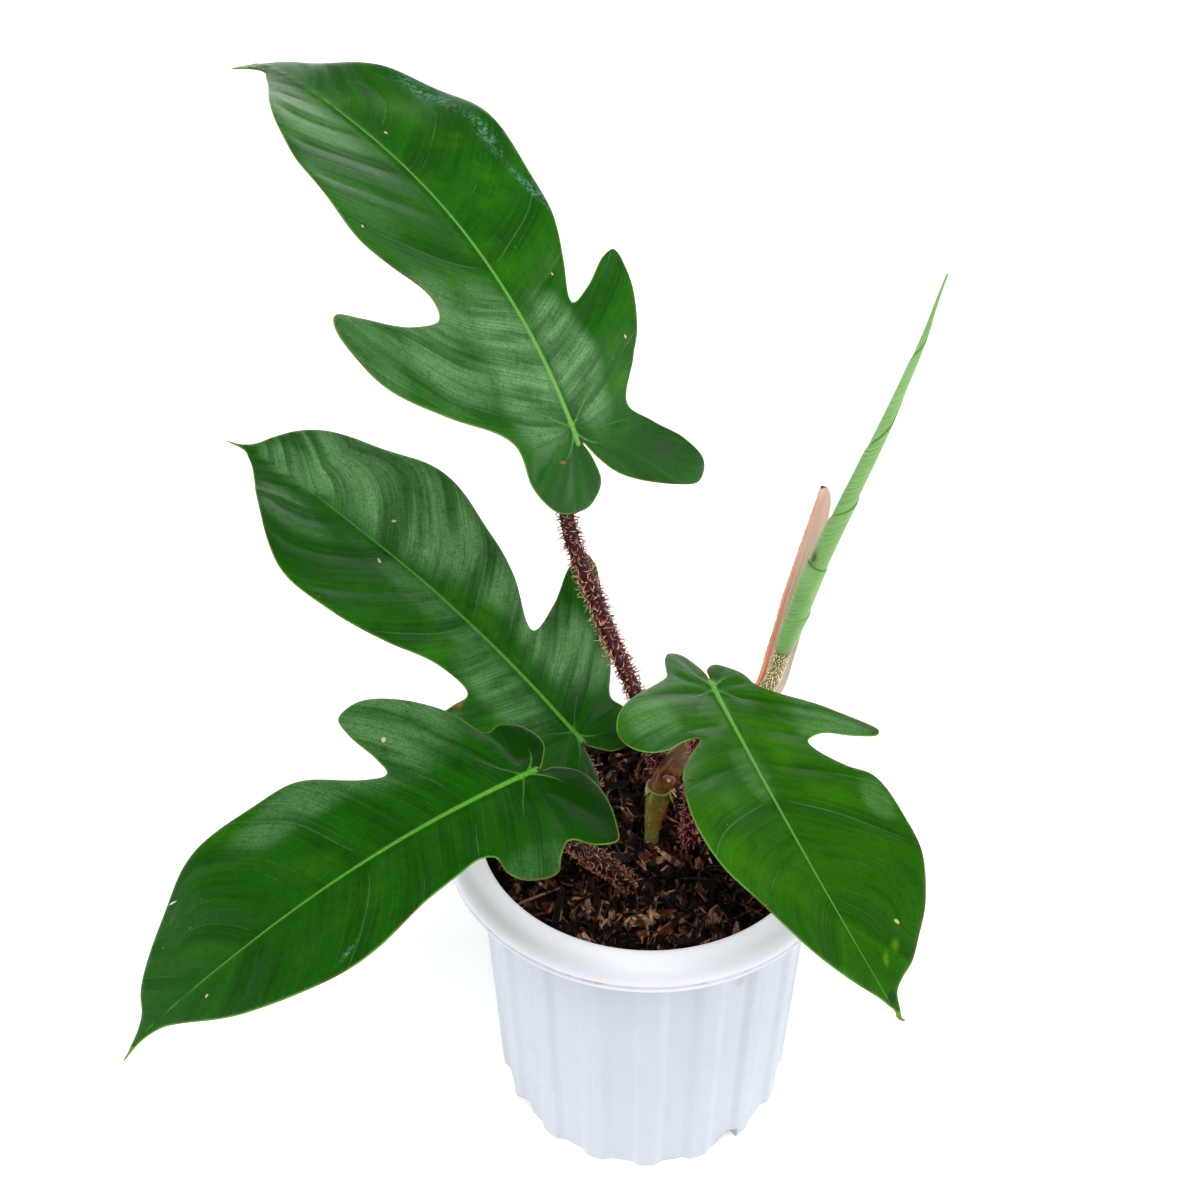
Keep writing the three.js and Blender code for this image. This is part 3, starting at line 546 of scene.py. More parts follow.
class Skin:
    """A mesh in the making: points, faces, and a vector of marks on each point."""

    def __init__(self, *marks):
        self.points = []
        self.faces = []
        self.marks = {name: [] for name in marks}

    def add(self, point, *marks):
        self.points.append(point)
        for values, mark in zip(self.marks.values(), marks):
            values.append(mark)
        return len(self.points) - 1

    def ring_strip(self, low, high, count, closed=True):
        """Quads between two rows of count points that start at low and high."""
        for i in range(count if closed else count - 1):
            j = (i + 1) % count
            self.faces.append((low + i, low + j, high + j, high + i))

    def cap(self, first, count, middle, flip):
        for i in range(count):
            j = (i + 1) % count
            ends = (first + j, first + i) if flip else (first + i, first + j)
            self.faces.append((*ends, middle))

    def join_rings(self, starts, count):
        for low, high in zip(starts, starts[1:]):
            self.ring_strip(low, high, count)

    def close_rings(self, starts, count, foot, head):
        """Joins rings of count points and closes the first round a foot and the last round a head."""
        self.join_rings(starts, count)
        self.cap(starts[0], count, foot, flip=True)
        self.cap(starts[-1], count, head, flip=False)

    def mesh(self, name):
        """The skin as a mesh in metres, with its marks as attributes."""
        mesh = bpy.data.meshes.new(name)
        mesh.from_pydata([point * MM for point in self.points], [], self.faces)
        for mark, values in self.marks.items():
            attribute = mesh.attributes.new(mark, "FLOAT_VECTOR", "POINT")
            attribute.data.foreach_set("vector", [number for value in values for number in value])
        return mesh


def add_rod(skin, row, radius, sides, marks):
    """A closed rod along a row. radius and marks are functions of the share along it and the angle."""
    starts = []
    for i, (point, (_, side, other)) in enumerate(zip(row, frames_along(row))):
        share = i / (len(row) - 1)
        starts.append(len(skin.points))
        for angle in angles_round(sides):
            skin.add(point + spoke(side, other, angle) * radius(share, angle), *marks(share, angle))
    foot = skin.add(row[0], *marks(0, 0))
    head = skin.add(row[-1], *marks(1, 0))
    skin.close_rings(starts, sides, foot, head)


def add_object(name, data):
    """A new object in the scene."""
    thing = bpy.data.objects.new(name, data)
    bpy.context.scene.collection.objects.link(thing)
    return thing


def make_piece(name, skin, finish, nodes, smooth=True):
    """A shown object from a skin, which stands for the CAD nodes that it is made after."""
    mesh = skin.mesh(name)
    mesh.polygons.foreach_set("use_smooth", [smooth] * len(mesh.polygons))
    mesh.materials.append(finish)
    mesh.update()
    piece = add_object(name, mesh)
    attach(piece, "root")
    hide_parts(*nodes)
    return piece


# Finishes

def colour(red, green, blue):
    """A colour as it looks on a screen, from 0 to 255, as the shader's linear colour."""
    shares = [part / 255 for part in (red, green, blue)]
    return (*(s / 12.92 if s <= 0.04045 else ((s + 0.055) / 1.055) ** 2.4 for s in shares), 1)


class Value:
    """A number, colour or place that changes over a surface. Arithmetic on a number adds Math nodes."""

    def __init__(self, finish, socket):
        self.finish = finish
        self.socket = socket

    def math(self, operation, *values):
        return self.finish.node("ShaderNodeMath", {"operation": operation}, dict(enumerate(values)))

    def __add__(self, other):
        return self.math("ADD", self, other)

    __radd__ = __add__

    def __mul__(self, other):
        return self.math("MULTIPLY", self, other)

    __rmul__ = __mul__

    def __sub__(self, other):
        return self.math("SUBTRACT", self, other)

    def __rsub__(self, other):
        return self.math("SUBTRACT", other, self)

    def __abs__(self):
        return self.math("ABSOLUTE", self)

    def sine(self):
        return self.math("SINE", self)

    def rise(self, low, high):
        """0 below low and 1 above high, smoothly in between. With low over high it falls."""
        settings = {"interpolation_type": "SMOOTHSTEP"}
        sockets = {"Value": self, "From Min": low, "From Max": high}
        return self.finish.node("ShaderNodeMapRange", settings, sockets)

    def rise_mm(self, low, high):
        """As rise, for a length in metres between two lengths in millimetres."""
        return self.rise(low * MM, high * MM)


class Finish:
    """A material whose nodes come from plain calls."""

    def __init__(self, name):
        self.material = bpy.data.materials.new(name)
        self.material.use_nodes = True
        self.tree = self.material.node_tree
        self.shader = self.tree.nodes["Principled BSDF"]

    def node(self, kind, settings, sockets, output=0):
        node = self.tree.nodes.new(kind)
        for name, value in settings.items():
            setattr(node, name, value)
        for name, value in sockets.items():
            self.put(node.inputs[name], value)
        return Value(self, node.outputs[output])

    def put(self, socket, value):
        if isinstance(value, Value):
            self.tree.links.new(value.socket, socket)
        else:
            socket.default_value = value

    def mix(self, share, first, second):
        """From the first colour at share 0 to the second at share 1."""
        return self.node("ShaderNodeMix", {"data_type": "RGBA"}, {0: share, 6: first, 7: second}, 2)

    def place(self):
        """The point on the piece, in metres."""
        return self.node("ShaderNodeTexCoord", {}, {}, "Object")

    def mark(self, name):
        """The three numbers of a mark, and the whole of it as a vector."""
        whole = self.node("ShaderNodeAttribute", {"attribute_name": name}, {}, "Vector")
        split = [self.node("ShaderNodeSeparateXYZ", {}, {"Vector": whole}, axis) for axis in "XYZ"]
        return (*split, whole)

    def stretch(self, vector, scale):
        return self.node("ShaderNodeVectorMath", {"operation": "MULTIPLY"}, {0: vector, 1: scale})

    def length(self, vector):
        return self.node("ShaderNodeVectorMath", {"operation": "LENGTH"}, {0: vector}, "Value")

    def clouds(self, vector, scale, detail=3, roughness=0.5):
        sockets = {"Vector": vector, "Scale": scale, "Detail": detail, "Roughness": roughness}
        return self.node("ShaderNodeTexNoise", {}, sockets)

    def cells(self, vector, scale, output="Distance"):
        return self.node("ShaderNodeTexVoronoi", {}, {"Vector": vector, "Scale": scale}, output)

    def specks(self, scale, size, share):
        """Round dots in a share of the cells of a loose grid. size is a share of a cell."""
        place = self.place()
        chosen = self.node("ShaderNodeSeparateColor", {}, {"Color": self.cells(place, scale, "Color")})
        return self.cells(place, scale).rise(size, size * 0.6) * chosen.rise(1 - share, 1 - share + 0.02)

    def spot(self, flat, x, y, long, wide, turn):
        """1 inside an uneven oval spot on the flat leaf, 0 outside it. A long one fades out softly."""
        sockets = {"Vector": flat, "Location": (x, y, 0), "Rotation": (0, 0, math.radians(turn)),
                   "Scale": (long, wide, 1000)}
        local = self.node("ShaderNodeMapping", {"vector_type": "TEXTURE"}, sockets)
        ragged = self.clouds(flat, 1.1, 3, 0.6) * 1.3 - 0.65
        return (self.length(local) + ragged).rise(1.1, 0.75 if long < 3 else 0.1)

    def stain(self, place, middle, size):
        """1 at the middle of a soft ball-shaped stain, 0 outside it. middle and size are in
        millimetres."""
        sockets = {0: place, 1: Vector(middle) * MM}
        away = self.node("ShaderNodeVectorMath", {"operation": "SUBTRACT"}, sockets)
        return self.length(self.stretch(away, [1 / (side * MM) for side in size])).rise(1.0, 0.2)

    def bump(self, height, distance, strength=1.0):
        sockets = {"Height": height, "Distance": distance, "Strength": strength}
        return self.node("ShaderNodeBump", {}, sockets)

    def done(self, **sockets):
        """Sets the shader's sockets, with spaces for underscores in their names."""
        for name, value in sockets.items():
            self.put(self.shader.inputs[name.replace("_", " ")], value)
        return self.material


def leaf_skin(name, leaf):
    """Waxy green blade with fine lines, pale bloom that paints its sheen, painted shade in the folds, beside the
    ribs and on the lobes behind the joint, side veins, a light midrib, a thin margin and the leaf's own marks.
    Its underside is a plainer, paler green."""
    finish = Finish(name)
    youth = leaf["youth"]
    x, _, edge, flat = finish.mark("leaf_place")
    across, out, under, vein = finish.mark("vein_place")
    rib, bloom_and_painted_sheen, strength, _ = finish.mark("rib_place")
    place = finish.place()
    lines = finish.clouds(finish.stretch(vein, (1.5, 0.03, 1)), 1, 3, 0.6)
    bands = finish.clouds(finish.stretch(vein, (0.11, 0.02, 1)), 1, 2)
    patches = finish.clouds(place, 30, 3, 0.55)
    satin = finish.clouds(place, 340, 3, 0.7)
    grain = finish.clouds(place, 1500, 2).rise(0.35, 0.65)
    deep = colour(13, 64, 4)
    fresh = colour(46, 108, 6) if youth > 0.5 else colour(33, 103, 6)
    yellowed = colour(70, 142, 4)
    shade = colour(8, 46, 2)

    # The green, in lines and bands that follow the veins and in soft patches
    skin = finish.mix(lines.rise(0.3, 0.72) * 0.55 + 0.2, deep, fresh)
    skin = finish.mix(bands.rise(0.4, 0.7) * 0.5 + youth * 0.3, skin, fresh)
    skin = finish.mix(patches.rise(0.5, 0.78) * (0.35 + 0.35 * youth), skin, yellowed)
    between = abs((across * (math.pi / HAIRLINE_STEP)).sine())
    skin = finish.mix(between.rise(0.42, 0.0) * lines.rise(0.42, 0.6) * 0.22, skin, yellowed)

    # Pale bloom with painted sheen, painted shade in the folds at the side veins, and the side veins
    # Painted sheen: a pale bloom laid in ovals where the blade shows its sheen
    frosted_and_sheen = (bands.rise(0.3, 0.62) * 0.7 + 0.3) * (0.5 + 0.5 * lines.rise(0.3, 0.66)) * bloom_and_painted_sheen
    skin = finish.mix(frosted_and_sheen * (0.6 + 0.4 * grain), skin, colour(140, 184, 132))
    fold = abs(((across + VEIN_SHIFT) * (math.pi / VEIN_STEP)).sine())
    seen = finish.clouds(finish.stretch(vein, (0.06, 0.045, 1)), 1, 2).rise(0.44, 0.58)
    veins = fold.rise(0.06, 0.0) * seen * out.rise(2, 7) * 0.4
    # Painted shade: darker green in the folds at the side veins
    skin = finish.mix(fold.rise(0.5, 0.0) * out.rise(2, 9) * 0.3, skin, deep)
    skin = finish.mix(veins, skin, colour(92, 158, 96))

    # Darker flecks, bands and patches, painted shade over the whole blade, and painted shade on the lobes behind the
    # joint
    flecks = finish.clouds(place, 760, 3, 0.75).rise(0.5, 0.7)
    skin = finish.mix(flecks * 0.3 + leaf["depth"], skin, deep)
    darker = bands.rise(0.5, 0.36) * 0.3 + patches.rise(0.46, 0.3) * 0.3
    darker = darker + finish.clouds(place, 300, 2, 0.7).rise(0.52, 0.68) * 0.25
    skin = finish.mix(darker * (1 - 0.5 * youth), skin, shade)
    # Painted shade on the lobes behind the joint
    skin = finish.mix(x.rise(16, -8) * leaf["lobe_painted_shade"], skin, shade)

    # Dust and dry specks
    dust = finish.specks(420, 0.13, 0.05) * patches.rise(0.45, 0.6)
    skin = finish.mix(dust * 0.6, skin, colour(150, 190, 176))
    skin = finish.mix(finish.specks(60, 0.03, 0.12), skin, colour(214, 186, 150))

    # Ribs, with painted shade in the groove along each side, and the worn margin
    skin = finish.mix(rib.rise(3.6, 1.2) * 0.25 * strength, skin, colour(12, 66, 4))
    base_rib = colour(92, 160, 56) if youth > 0.2 else colour(76, 148, 26)
    ribs = finish.mix(grain * 0.5, base_rib, colour(114, 178, 78))
    skin = finish.mix(rib.rise(1.35, 0.7) * (0.25 + 0.75 * strength), skin, ribs)
    worn = finish.clouds(place, 55, 2).rise(0.5, 0.62)
    margin = finish.mix(worn, colour(110, 150, 44), colour(112, 78, 36))
    skin = finish.mix(edge.rise(0.55, 0.2) * 0.75, skin, margin)

    # The underside
    pale = finish.mix(lines, colour(54, 108, 46), colour(76, 130, 62))
    below = finish.mix(rib.rise(1.35, 0.7), pale, colour(140, 188, 100))
    skin = finish.mix(under, skin, below)

    # The leaf's own marks
    scattered_dust = finish.clouds(place, 620, 3, 0.7).rise(0.42, 0.66)
    for kind, mark_x, mark_y, long, wide, turn in leaf["marks"]:
        tint, most = MARK_KINDS[kind]
        share = finish.spot(flat, mark_x, mark_y, long, wide, turn) * most
        skin = finish.mix(share * scattered_dust if kind == "dust" else share, skin, colour(*tint))

    gloss = 0.25 + 0.12 * patches + 0.1 * satin + 0.2 * under
    height = lines * 0.7 + satin * 0.6 + finish.clouds(place, 1900, 2) * 0.25
    normal = finish.bump(height, 0.0002, 0.5)
    return finish.done(Base_Color=skin, Roughness=gloss, Normal=normal, Specular_IOR_Level=leaf["shine"])


def petiole_skin(name, core_pair, root_pair, tip_pair):
    """Dark maroon stalk; its bristles run from one pair of colours at the root to another at the tip."""
    finish = Finish(name)
    tip, lot, along, _ = finish.mark("bristle_place")
    place = finish.place()
    mottle = finish.clouds(place, 420, 3)
    core = finish.mix(mottle.rise(0.35, 0.7), *(colour(*tint) for tint in core_pair))
    warm = finish.mix(lot, *(colour(*tint) for tint in root_pair))
    pale = finish.mix(lot, *(colour(*tint) for tint in tip_pair))
    rosy = finish.mix(lot, colour(140, 24, 54), colour(222, 120, 130))
    body = finish.mix(tip.rise(0.2, 0.9), warm, pale)
    body = finish.mix(along.rise(0.6, 1.0) * 0.55, body, rosy)
    skin = finish.mix(tip.rise(0.0, 0.16), core, body)
    normal = finish.bump(mottle, 0.0003, 0.6)
    gloss = 0.32 + 0.2 * finish.clouds(place, 900, 2)
    return finish.done(Base_Color=skin, Roughness=gloss, Normal=normal, Specular_IOR_Level=0.3)


def stem_bark():
    """Olive lower length with pale scurf, glossy brown-red above the scar with a painted highlight along its top, a
    pink-brown bud.
    """
    finish = Finish("stem_bark")
    height, part, lot, _ = finish.mark("stem_place")
    place = finish.place()
    mottle = finish.clouds(place, 260, 4, 0.6)
    low = finish.mix(mottle.rise(0.34, 0.66), colour(88, 90, 6), colour(122, 112, 20))
    rusty = finish.clouds(finish.stretch(place, (120, 120, 40)), 1, 2).rise(0.5, 0.7)
    low = finish.mix(rusty * 0.8, low, colour(150, 84, 34))
    low = finish.mix(height.rise(139, 132) * 0.8, low, colour(92, 98, 66))
    high = finish.mix(mottle.rise(0.4, 0.7), colour(92, 44, 8), colour(150, 92, 32))
    # Painted highlight: the top of the upper length is painted lighter
    high = finish.mix(height.rise(157, 166) * 0.7, high, colour(170, 136, 104))
    skin = finish.mix(height.rise(151, 153), low, high)
    scurf = finish.clouds(place, 620, 2, 0.7).rise(0.6, 0.68) * height.rise(150, 144)
    skin = finish.mix(scurf * 0.85, skin, colour(206, 172, 150))
    dry = finish.mix(lot, colour(104, 104, 40), colour(206, 190, 140))
    bud = finish.mix(lot, colour(150, 58, 34), colour(236, 206, 180))
    skin = finish.mix(part.rise(0.2, 0.8), skin, dry)
    skin = finish.mix(part.rise(1.2, 1.8), skin, bud)
    gloss = 0.2 + 0.2 * finish.clouds(place, 200, 2) + 0.3 * height.rise(150, 140)
    normal = finish.bump(mottle + 0.6 * scurf, 0.00035, 0.5)
    return finish.done(Base_Color=skin, Roughness=gloss, Normal=normal, Specular_IOR_Level=0.3)


def new_stalk_skin():
    """Yellow-green warts on a darker olive skin."""
    finish = Finish("new_stalk_skin")
    tip, lot, _, _ = finish.mark("wart_place")
    core = finish.mix(finish.clouds(finish.place(), 500, 2), colour(116, 102, 46), colour(168, 142, 84))
    warts = finish.mix(lot, colour(220, 216, 150), colour(255, 252, 218))
    skin = finish.mix(tip.rise(0.05, 0.6), core, warts)
    normal = finish.bump(finish.clouds(finish.place(), 2200, 2), 0.0001, 0.4)
    return finish.done(Base_Color=skin, Roughness=0.45 + 0.2 * lot, Normal=normal)


def new_leaf_skin():
    """Soft light green with fine cross lines, darker green along the free edge of the roll and painted shade in the
    hollow over the collar.
    """
    finish = Finish("new_leaf_skin")
    edge, along, hollow, whole = finish.mark("roll_place")
    place = finish.place()
    lines = finish.clouds(finish.stretch(whole, (0.0, 1.15, 0.0)), 1, 4, 0.6)
    skin = finish.mix(lines.rise(0.3, 0.72), colour(100, 156, 70), colour(150, 194, 122))
    skin = finish.mix(finish.clouds(place, 90, 2).rise(0.4, 0.7) * 0.5, skin, colour(152, 196, 122))
    skin = finish.mix(edge.rise(0.8, 0.2) * 0.95, skin, colour(70, 126, 26))
    skin = finish.mix(along.rise(100, 150) * 0.45, skin, colour(106, 166, 60))
    skin = finish.mix(along.rise(3.2, 0.2) * 0.6, skin, colour(164, 150, 88))
    # Painted shade: the hollow over the collar is painted dark
    skin = finish.mix(hollow, skin, colour(52, 62, 14))
    normal = finish.bump(lines, 0.0002, 0.4)
    return finish.done(Base_Color=skin, Roughness=0.42 + 0.16 * lines, Normal=normal)


def sheath_skin():
    """Peach along the thick left edge, pale pink on the thin face and near white low on its right,
    with a dark dry tip. It has a faint painted glow, so its shaded inner face stays light."""
    finish = Finish("sheath_skin")
    across, along, keel_side, whole = finish.mark("sheath_place")
    place = finish.place()
    veins = finish.clouds(finish.stretch(whole, (9, 1.2, 0)), 1, 3)
    face = finish.mix(veins.rise(0.35, 0.7), colour(226, 196, 182), colour(244, 224, 214))
    face = finish.mix(across.rise(-0.1, -0.8) * 0.6, face, colour(246, 198, 176))
    face = finish.mix(along.rise(0.7, 0.95) * 0.45, face, colour(232, 188, 180))
    face = finish.mix(across.rise(0.1, 0.7) * along.rise(0.7, 0.4) * 0.8, face, colour(248, 246, 244))
    keel = finish.mix(along.rise(0.05, 0.8), colour(248, 150, 112), colour(234, 172, 150))
    warts = finish.cells(place, 1100).rise(0.55, 0.2)
    keel = finish.mix(warts * 0.6, keel, colour(255, 196, 166))
    skin = finish.mix(keel_side, face, keel)
    skin = finish.mix(along.rise(0.985, 0.996), skin, colour(48, 22, 14))
    normal = finish.bump(veins + finish.clouds(place, 1400, 2) * 0.5, 0.0002, 0.4)
    # Painted glow: the whole sheath emits a little of its own colour
    return finish.done(Base_Color=skin, Emission_Color=skin, Emission_Strength=PAINTED_SHEATH_GLOW,
                       Roughness=0.4 + 0.15 * veins, Normal=normal)


def pot_plastic():
    """Satin white moulded plastic, faintly blue, with scuffs, specks, and dust in the groove over
    the bead. Its rim is painted whiter as painted light from above, and the inner side of the rim has a painted
    glow."""
    finish = Finish("pot_plastic")
    place = finish.place()
    height = finish.node("ShaderNodeSeparateXYZ", {}, {"Vector": place}, "Z")
    clouds = finish.clouds(place, 22, 3)
    grime = colour(176, 160, 138)
    skin = finish.mix(clouds, colour(184, 190, 201), colour(195, 201, 211))
    # Painted light: the rim is painted whiter than the body, as if lit from above
    skin = finish.mix(height.rise_mm(*RIM_PAINTED_LIGHT_FROM), skin, colour(225, 225, 235))
    streaks = finish.clouds(finish.stretch(place, (260, 260, 22)), 1, 3, 0.6)
    skin = finish.mix(streaks.rise(0.66, 0.82) * 0.22, skin, colour(206, 208, 206))
    dust = finish.clouds(place, 130, 4, 0.7).rise(0.46, 0.68)
    groove = height.rise_mm(*GROOVE_FROM) * height.rise_mm(*GROOVE_UP_TO)
    skin = finish.mix((dust * 0.6 + 0.1) * groove, skin, grime)
    film = finish.clouds(place, 46, 4, 0.7).rise(0.52, 0.8) * height.rise_mm(*FILM_FROM)
    skin = finish.mix(film * 0.2, skin, colour(206, 190, 160))
    smudge = finish.clouds(finish.stretch(place, (95, 95, 60)), 1, 3, 0.6).rise(0.66, 0.78)
    skin = finish.mix(smudge * 0.3, skin, colour(182, 172, 156))
    smear = finish.stain(place, POT_SMEAR_AT, POT_SMEAR_SIZE)
    skin = finish.mix(smear * (0.5 + 0.4 * dust), skin, grime)
    skin = finish.mix(finish.specks(64, 0.045, 0.16) * 0.7, skin, colour(112, 98, 84))
    skin = finish.mix(finish.specks(150, 0.06, 0.05) * 0.6, skin, colour(120, 100, 84))
    # Painted glow: the inner side of the rim emits light, so the leaves' shade on it stays pale
    from_axis = finish.length(finish.stretch(place, (1, 1, 0)))
    inside = from_axis.rise_mm(*PAINTED_GLOW_RADII) * height.rise_mm(*PAINTED_GLOW_FROM)
    painted_glow_colour = finish.mix(inside, colour(0, 0, 0), colour(248, 242, 255))
    gloss = 0.3 + 0.16 * finish.clouds(place, 60, 3) + 0.12 * dust
    ripple = finish.clouds(finish.stretch(place, (60, 60, 14)), 1, 2) + 0.12 * finish.clouds(place, 2600, 2)
    normal = finish.bump(ripple, 0.0006, 0.35)
    return finish.done(Base_Color=skin, Emission_Color=painted_glow_colour, Emission_Strength=PAINTED_RIM_GLOW,
                       Roughness=gloss, Normal=normal, Specular_IOR_Level=0.45)


def soil_bed_finish():
    """Nearly black damp crumb between the chips."""
    finish = Finish("potting_bark_bed")
    place = finish.place()
    crumbs = finish.cells(place, 620)
    skin = finish.mix(finish.clouds(place, 480, 4, 0.7).rise(0.4, 0.75), colour(5, 2, 1), colour(24, 12, 9))
    normal = finish.bump(crumbs + finish.clouds(place, 1600, 3), 0.0012, 0.9)
    return finish.done(Base_Color=skin, Roughness=0.62 + 0.3 * crumbs, Normal=normal, Specular_IOR_Level=0.1)


def bark_chip_finish():
    """Bark and husk from near black through red-brown to tan, with fibres along each chip."""
    finish = Finish("potting_bark_chips")
    _, across, lot, grain = finish.mark("chip_place")
    place = finish.place()
    fibres = finish.clouds(finish.stretch(grain, (0.3, 3.2, 37)), 1, 4, 0.7)
    dark = finish.mix(fibres.rise(0.35, 0.7), colour(6, 2, 1), colour(46, 20, 13))
    brown = finish.mix(fibres.rise(0.35, 0.7), colour(28, 7, 4), colour(134, 62, 38))
    tan = finish.mix(fibres.rise(0.35, 0.7), colour(104, 52, 36), colour(252, 200, 166))
    skin = finish.mix(lot.rise(0.42, 0.8), dark, brown)
    skin = finish.mix(lot.rise(0.84, 0.97), skin, tan)
    split = abs(across).rise(0.72, 1.0) * fibres.rise(0.4, 0.6) * lot.rise(0.2, 0.6)
    skin = finish.mix(split * 0.7, skin, colour(206, 148, 116))
    skin = finish.mix(finish.clouds(place, 170, 3).rise(0.45, 0.58) * 0.94, skin, colour(4, 1, 1))
    gloss = 0.25 + 0.5 * finish.clouds(place, 340, 3)
    normal = finish.bump(fibres + 0.4 * finish.clouds(place, 1800, 2), 0.0009, 1.0)
    return finish.done(Base_Color=skin, Roughness=gloss, Normal=normal, Specular_IOR_Level=0.14)


def floor_finish():
    """White lit table: it glows faintly, so the shadows on it stay pale."""
    finish = Finish("studio_floor")
    shade = finish.clouds(finish.place(), 3, 2)
    skin = finish.mix(shade, colour(250, 250, 250), colour(252, 252, 252))
    return finish.done(Base_Color=skin, Emission_Color=skin, Emission_Strength=FLOOR_GLOW, Roughness=0.9,
                       Specular_IOR_Level=0.1)


# Leaf blades

def arc_at(distance, length, turn):
    """Run, rise and slope at a distance along an arc of that length and turn, whose chord is level."""
    turn = turn if abs(turn) > 1e-4 else 1e-4
    radius = length / turn
    slope = turn / 2 - distance / radius
    run = radius * (math.sin(turn / 2) - math.sin(slope))
    rise = radius * (math.cos(slope) - math.cos(turn / 2))
    return run, rise, slope


def arc_length(chord, turn):
    turn = turn if abs(turn) > 1e-4 else 1e-4
    return chord * turn / (2 * math.sin(turn / 2))


class Blade:
    """The curved face of a blade. at() takes a place on the flat leaf to its place in space."""

    def __init__(self, leaf):
        roll, self.arch, self.fold, self.bow = (math.radians(leaf["turn"][part])
                                                for part in ("roll", "arch", "fold", "bow"))
        self.lobe_drop = leaf["lobe_drop"]
        self.start = Vector(leaf["base"])
        chord = Vector(leaf["tip"]) - self.start
        self.ahead = chord.normalized()
        level = (UP - self.ahead * self.ahead.z).normalized()
        turn = Matrix.Rotation(roll, 3, self.ahead)
        self.left = turn @ level.cross(self.ahead)
        self.up = turn @ level
        self.arch_length = arc_length(chord.length, self.arch)
        self.length = arc_length(self.arch_length, self.bow)

    def middle(self, x, y):
        side_run, side_rise, side_slope = arc_at(x, self.length, self.bow)
        across = y * math.cos(self.fold)
        along = side_run - across * math.sin(side_slope)
        sideways = side_rise + across * math.cos(side_slope)
        spread = math.hypot(y, FOLD_ROUNDING) - FOLD_ROUNDING
        reach = min(1, abs(y) / WAVE_REACH)
        half = 0 if y == 0 else math.copysign(1, y)
        wave = WAVE_HEIGHT * reach * reach * math.sin(2 * math.pi * x / WAVE_LENGTH + half)
        hanging = smoothstep(y, *LOBE_HANG_OUT) * (1 - smoothstep(x, *LOBE_HANG_END))
        lift = spread * math.sin(self.fold) + wave - self.lobe_drop * hanging
        run, rise, slope = arc_at(along, self.arch_length, self.arch)
        return (self.start + self.ahead * (run - lift * math.sin(slope)) + self.left * sideways
                + self.up * (rise + lift * math.cos(slope)))

    def normal_at(self, x, y):
        along_x = self.middle(x + 0.5, y) - self.middle(x - 0.5, y)
        along_y = self.middle(x, y + 0.5) - self.middle(x, y - 0.5)
        return along_x.cross(along_y).normalized()

    def at(self, x, y, height=0.0):
        return self.middle(x, y) + self.normal_at(x, y) * height


def leaf_outline(leaf):
    """The blade's flat outline as evenly spaced points round a smooth closed curve."""
    points = []
    for i, (x, y) in enumerate(leaf["outline"]):
        half = -1 if i > leaf["tip_index"] else 1
        points.append(Vector((x, half * y)) * leaf["size"])
    return spaced(curve_through(points, closed=True), BLADE_STEP, closed=True)


def vein_place(x, y, length):
    """How far a place lies across the side veins, and how far out along them from the midrib.
    In front of the joint the veins sweep forward and gather at the tip; behind it they fan out."""
    out = abs(y)
    gather = 1 + VEIN_GATHER * min(max(x, 0) / (max(length - x, 0) + GATHER_EASE), GATHER_LIMIT) ** 2
    across = x - VEIN_FAN - (VEIN_SWEEP * out + VEIN_CURVE * out * out) * gather
    if across < 0:
        across = -FAN_SPREAD * math.atan2(-across, out)
    return across, out


def crease(across, step):
    """1 between two side veins and 0 on them, with a sharp fold at the vein."""
    return abs(math.sin(math.pi * (across + VEIN_SHIFT) / step))


def rib_half_width(x, length):
    return lerp(*RIB_HALF_WIDTHS, clamp(x / (length * 0.9)) ** 0.62)


def rib_line(x, length, swing):
    """How far the midrib swings sideways near the tip."""
    return swing * clamp((x / length - 0.6) / 0.38) ** 2


def joint_vein_lines():
    """The two veins on each side of the joint that run into the lobes, as (place, half width) rows."""
    lines = []
    for side in (1, -1):
        for points, widths in zip(JOINT_VEINS, JOINT_VEIN_WIDTHS):
            row = spaced(curve_through([Vector((x, side * y)) for x, y in points], parts=8), 0.9)
            lines.append([(point, lerp(*widths, i / (len(row) - 1))) for i, point in enumerate(row)])
    return lines


def rib_closeness(place, length, swing, lines):
    """Distance from the nearest rib in units of that rib's half width, and how strong the rib is."""
    x, y = place
    ahead = abs(y - rib_line(x, length, swing))
    best = max(ahead, max(-x - 1, 0)) / rib_half_width(x, length)
    strength = lerp(1, 0.4, clamp(x / length))
    for line in lines:
        for i, (point, half) in enumerate(line):
            gap = math.hypot(point.x - x, point.y - y) / half
            if gap < best and gap < 6:
                best = gap
                strength = (0.5 if line[0][1] > 0.5 else 0.2) * (1 - i / len(line)) ** 1.2
    return min(best, 9.0), strength


def bloom_and_painted_sheen_at(x, y, patches):
    """How thick the pale bloom and its painted sheen lie at a place, from a leaf's oval patches of them."""
    shares = [amount * (1 - smoothstep(math.hypot((x - px) / long, (y - py) / wide), 0.55, 1.15))
              for px, py, long, wide, amount in patches]
    return max(shares)


def valley_depth(x, y, valleys):
    """Depth of the folds that run from the joint to the notches between the lobes."""
    deepest = 0.0
    place = Vector((x, y))
    for start, end, depth in valleys:
        start, end = Vector(start), Vector(end)
        run = end - start
        share = clamp((place - start).dot(run) / run.length_squared)
        gap = (place - start.lerp(end, share)).length
        deepest = max(deepest, depth * math.exp(-gap / VALLEY_WIDTH) * smoothstep(share, 0, 0.25))
    return deepest


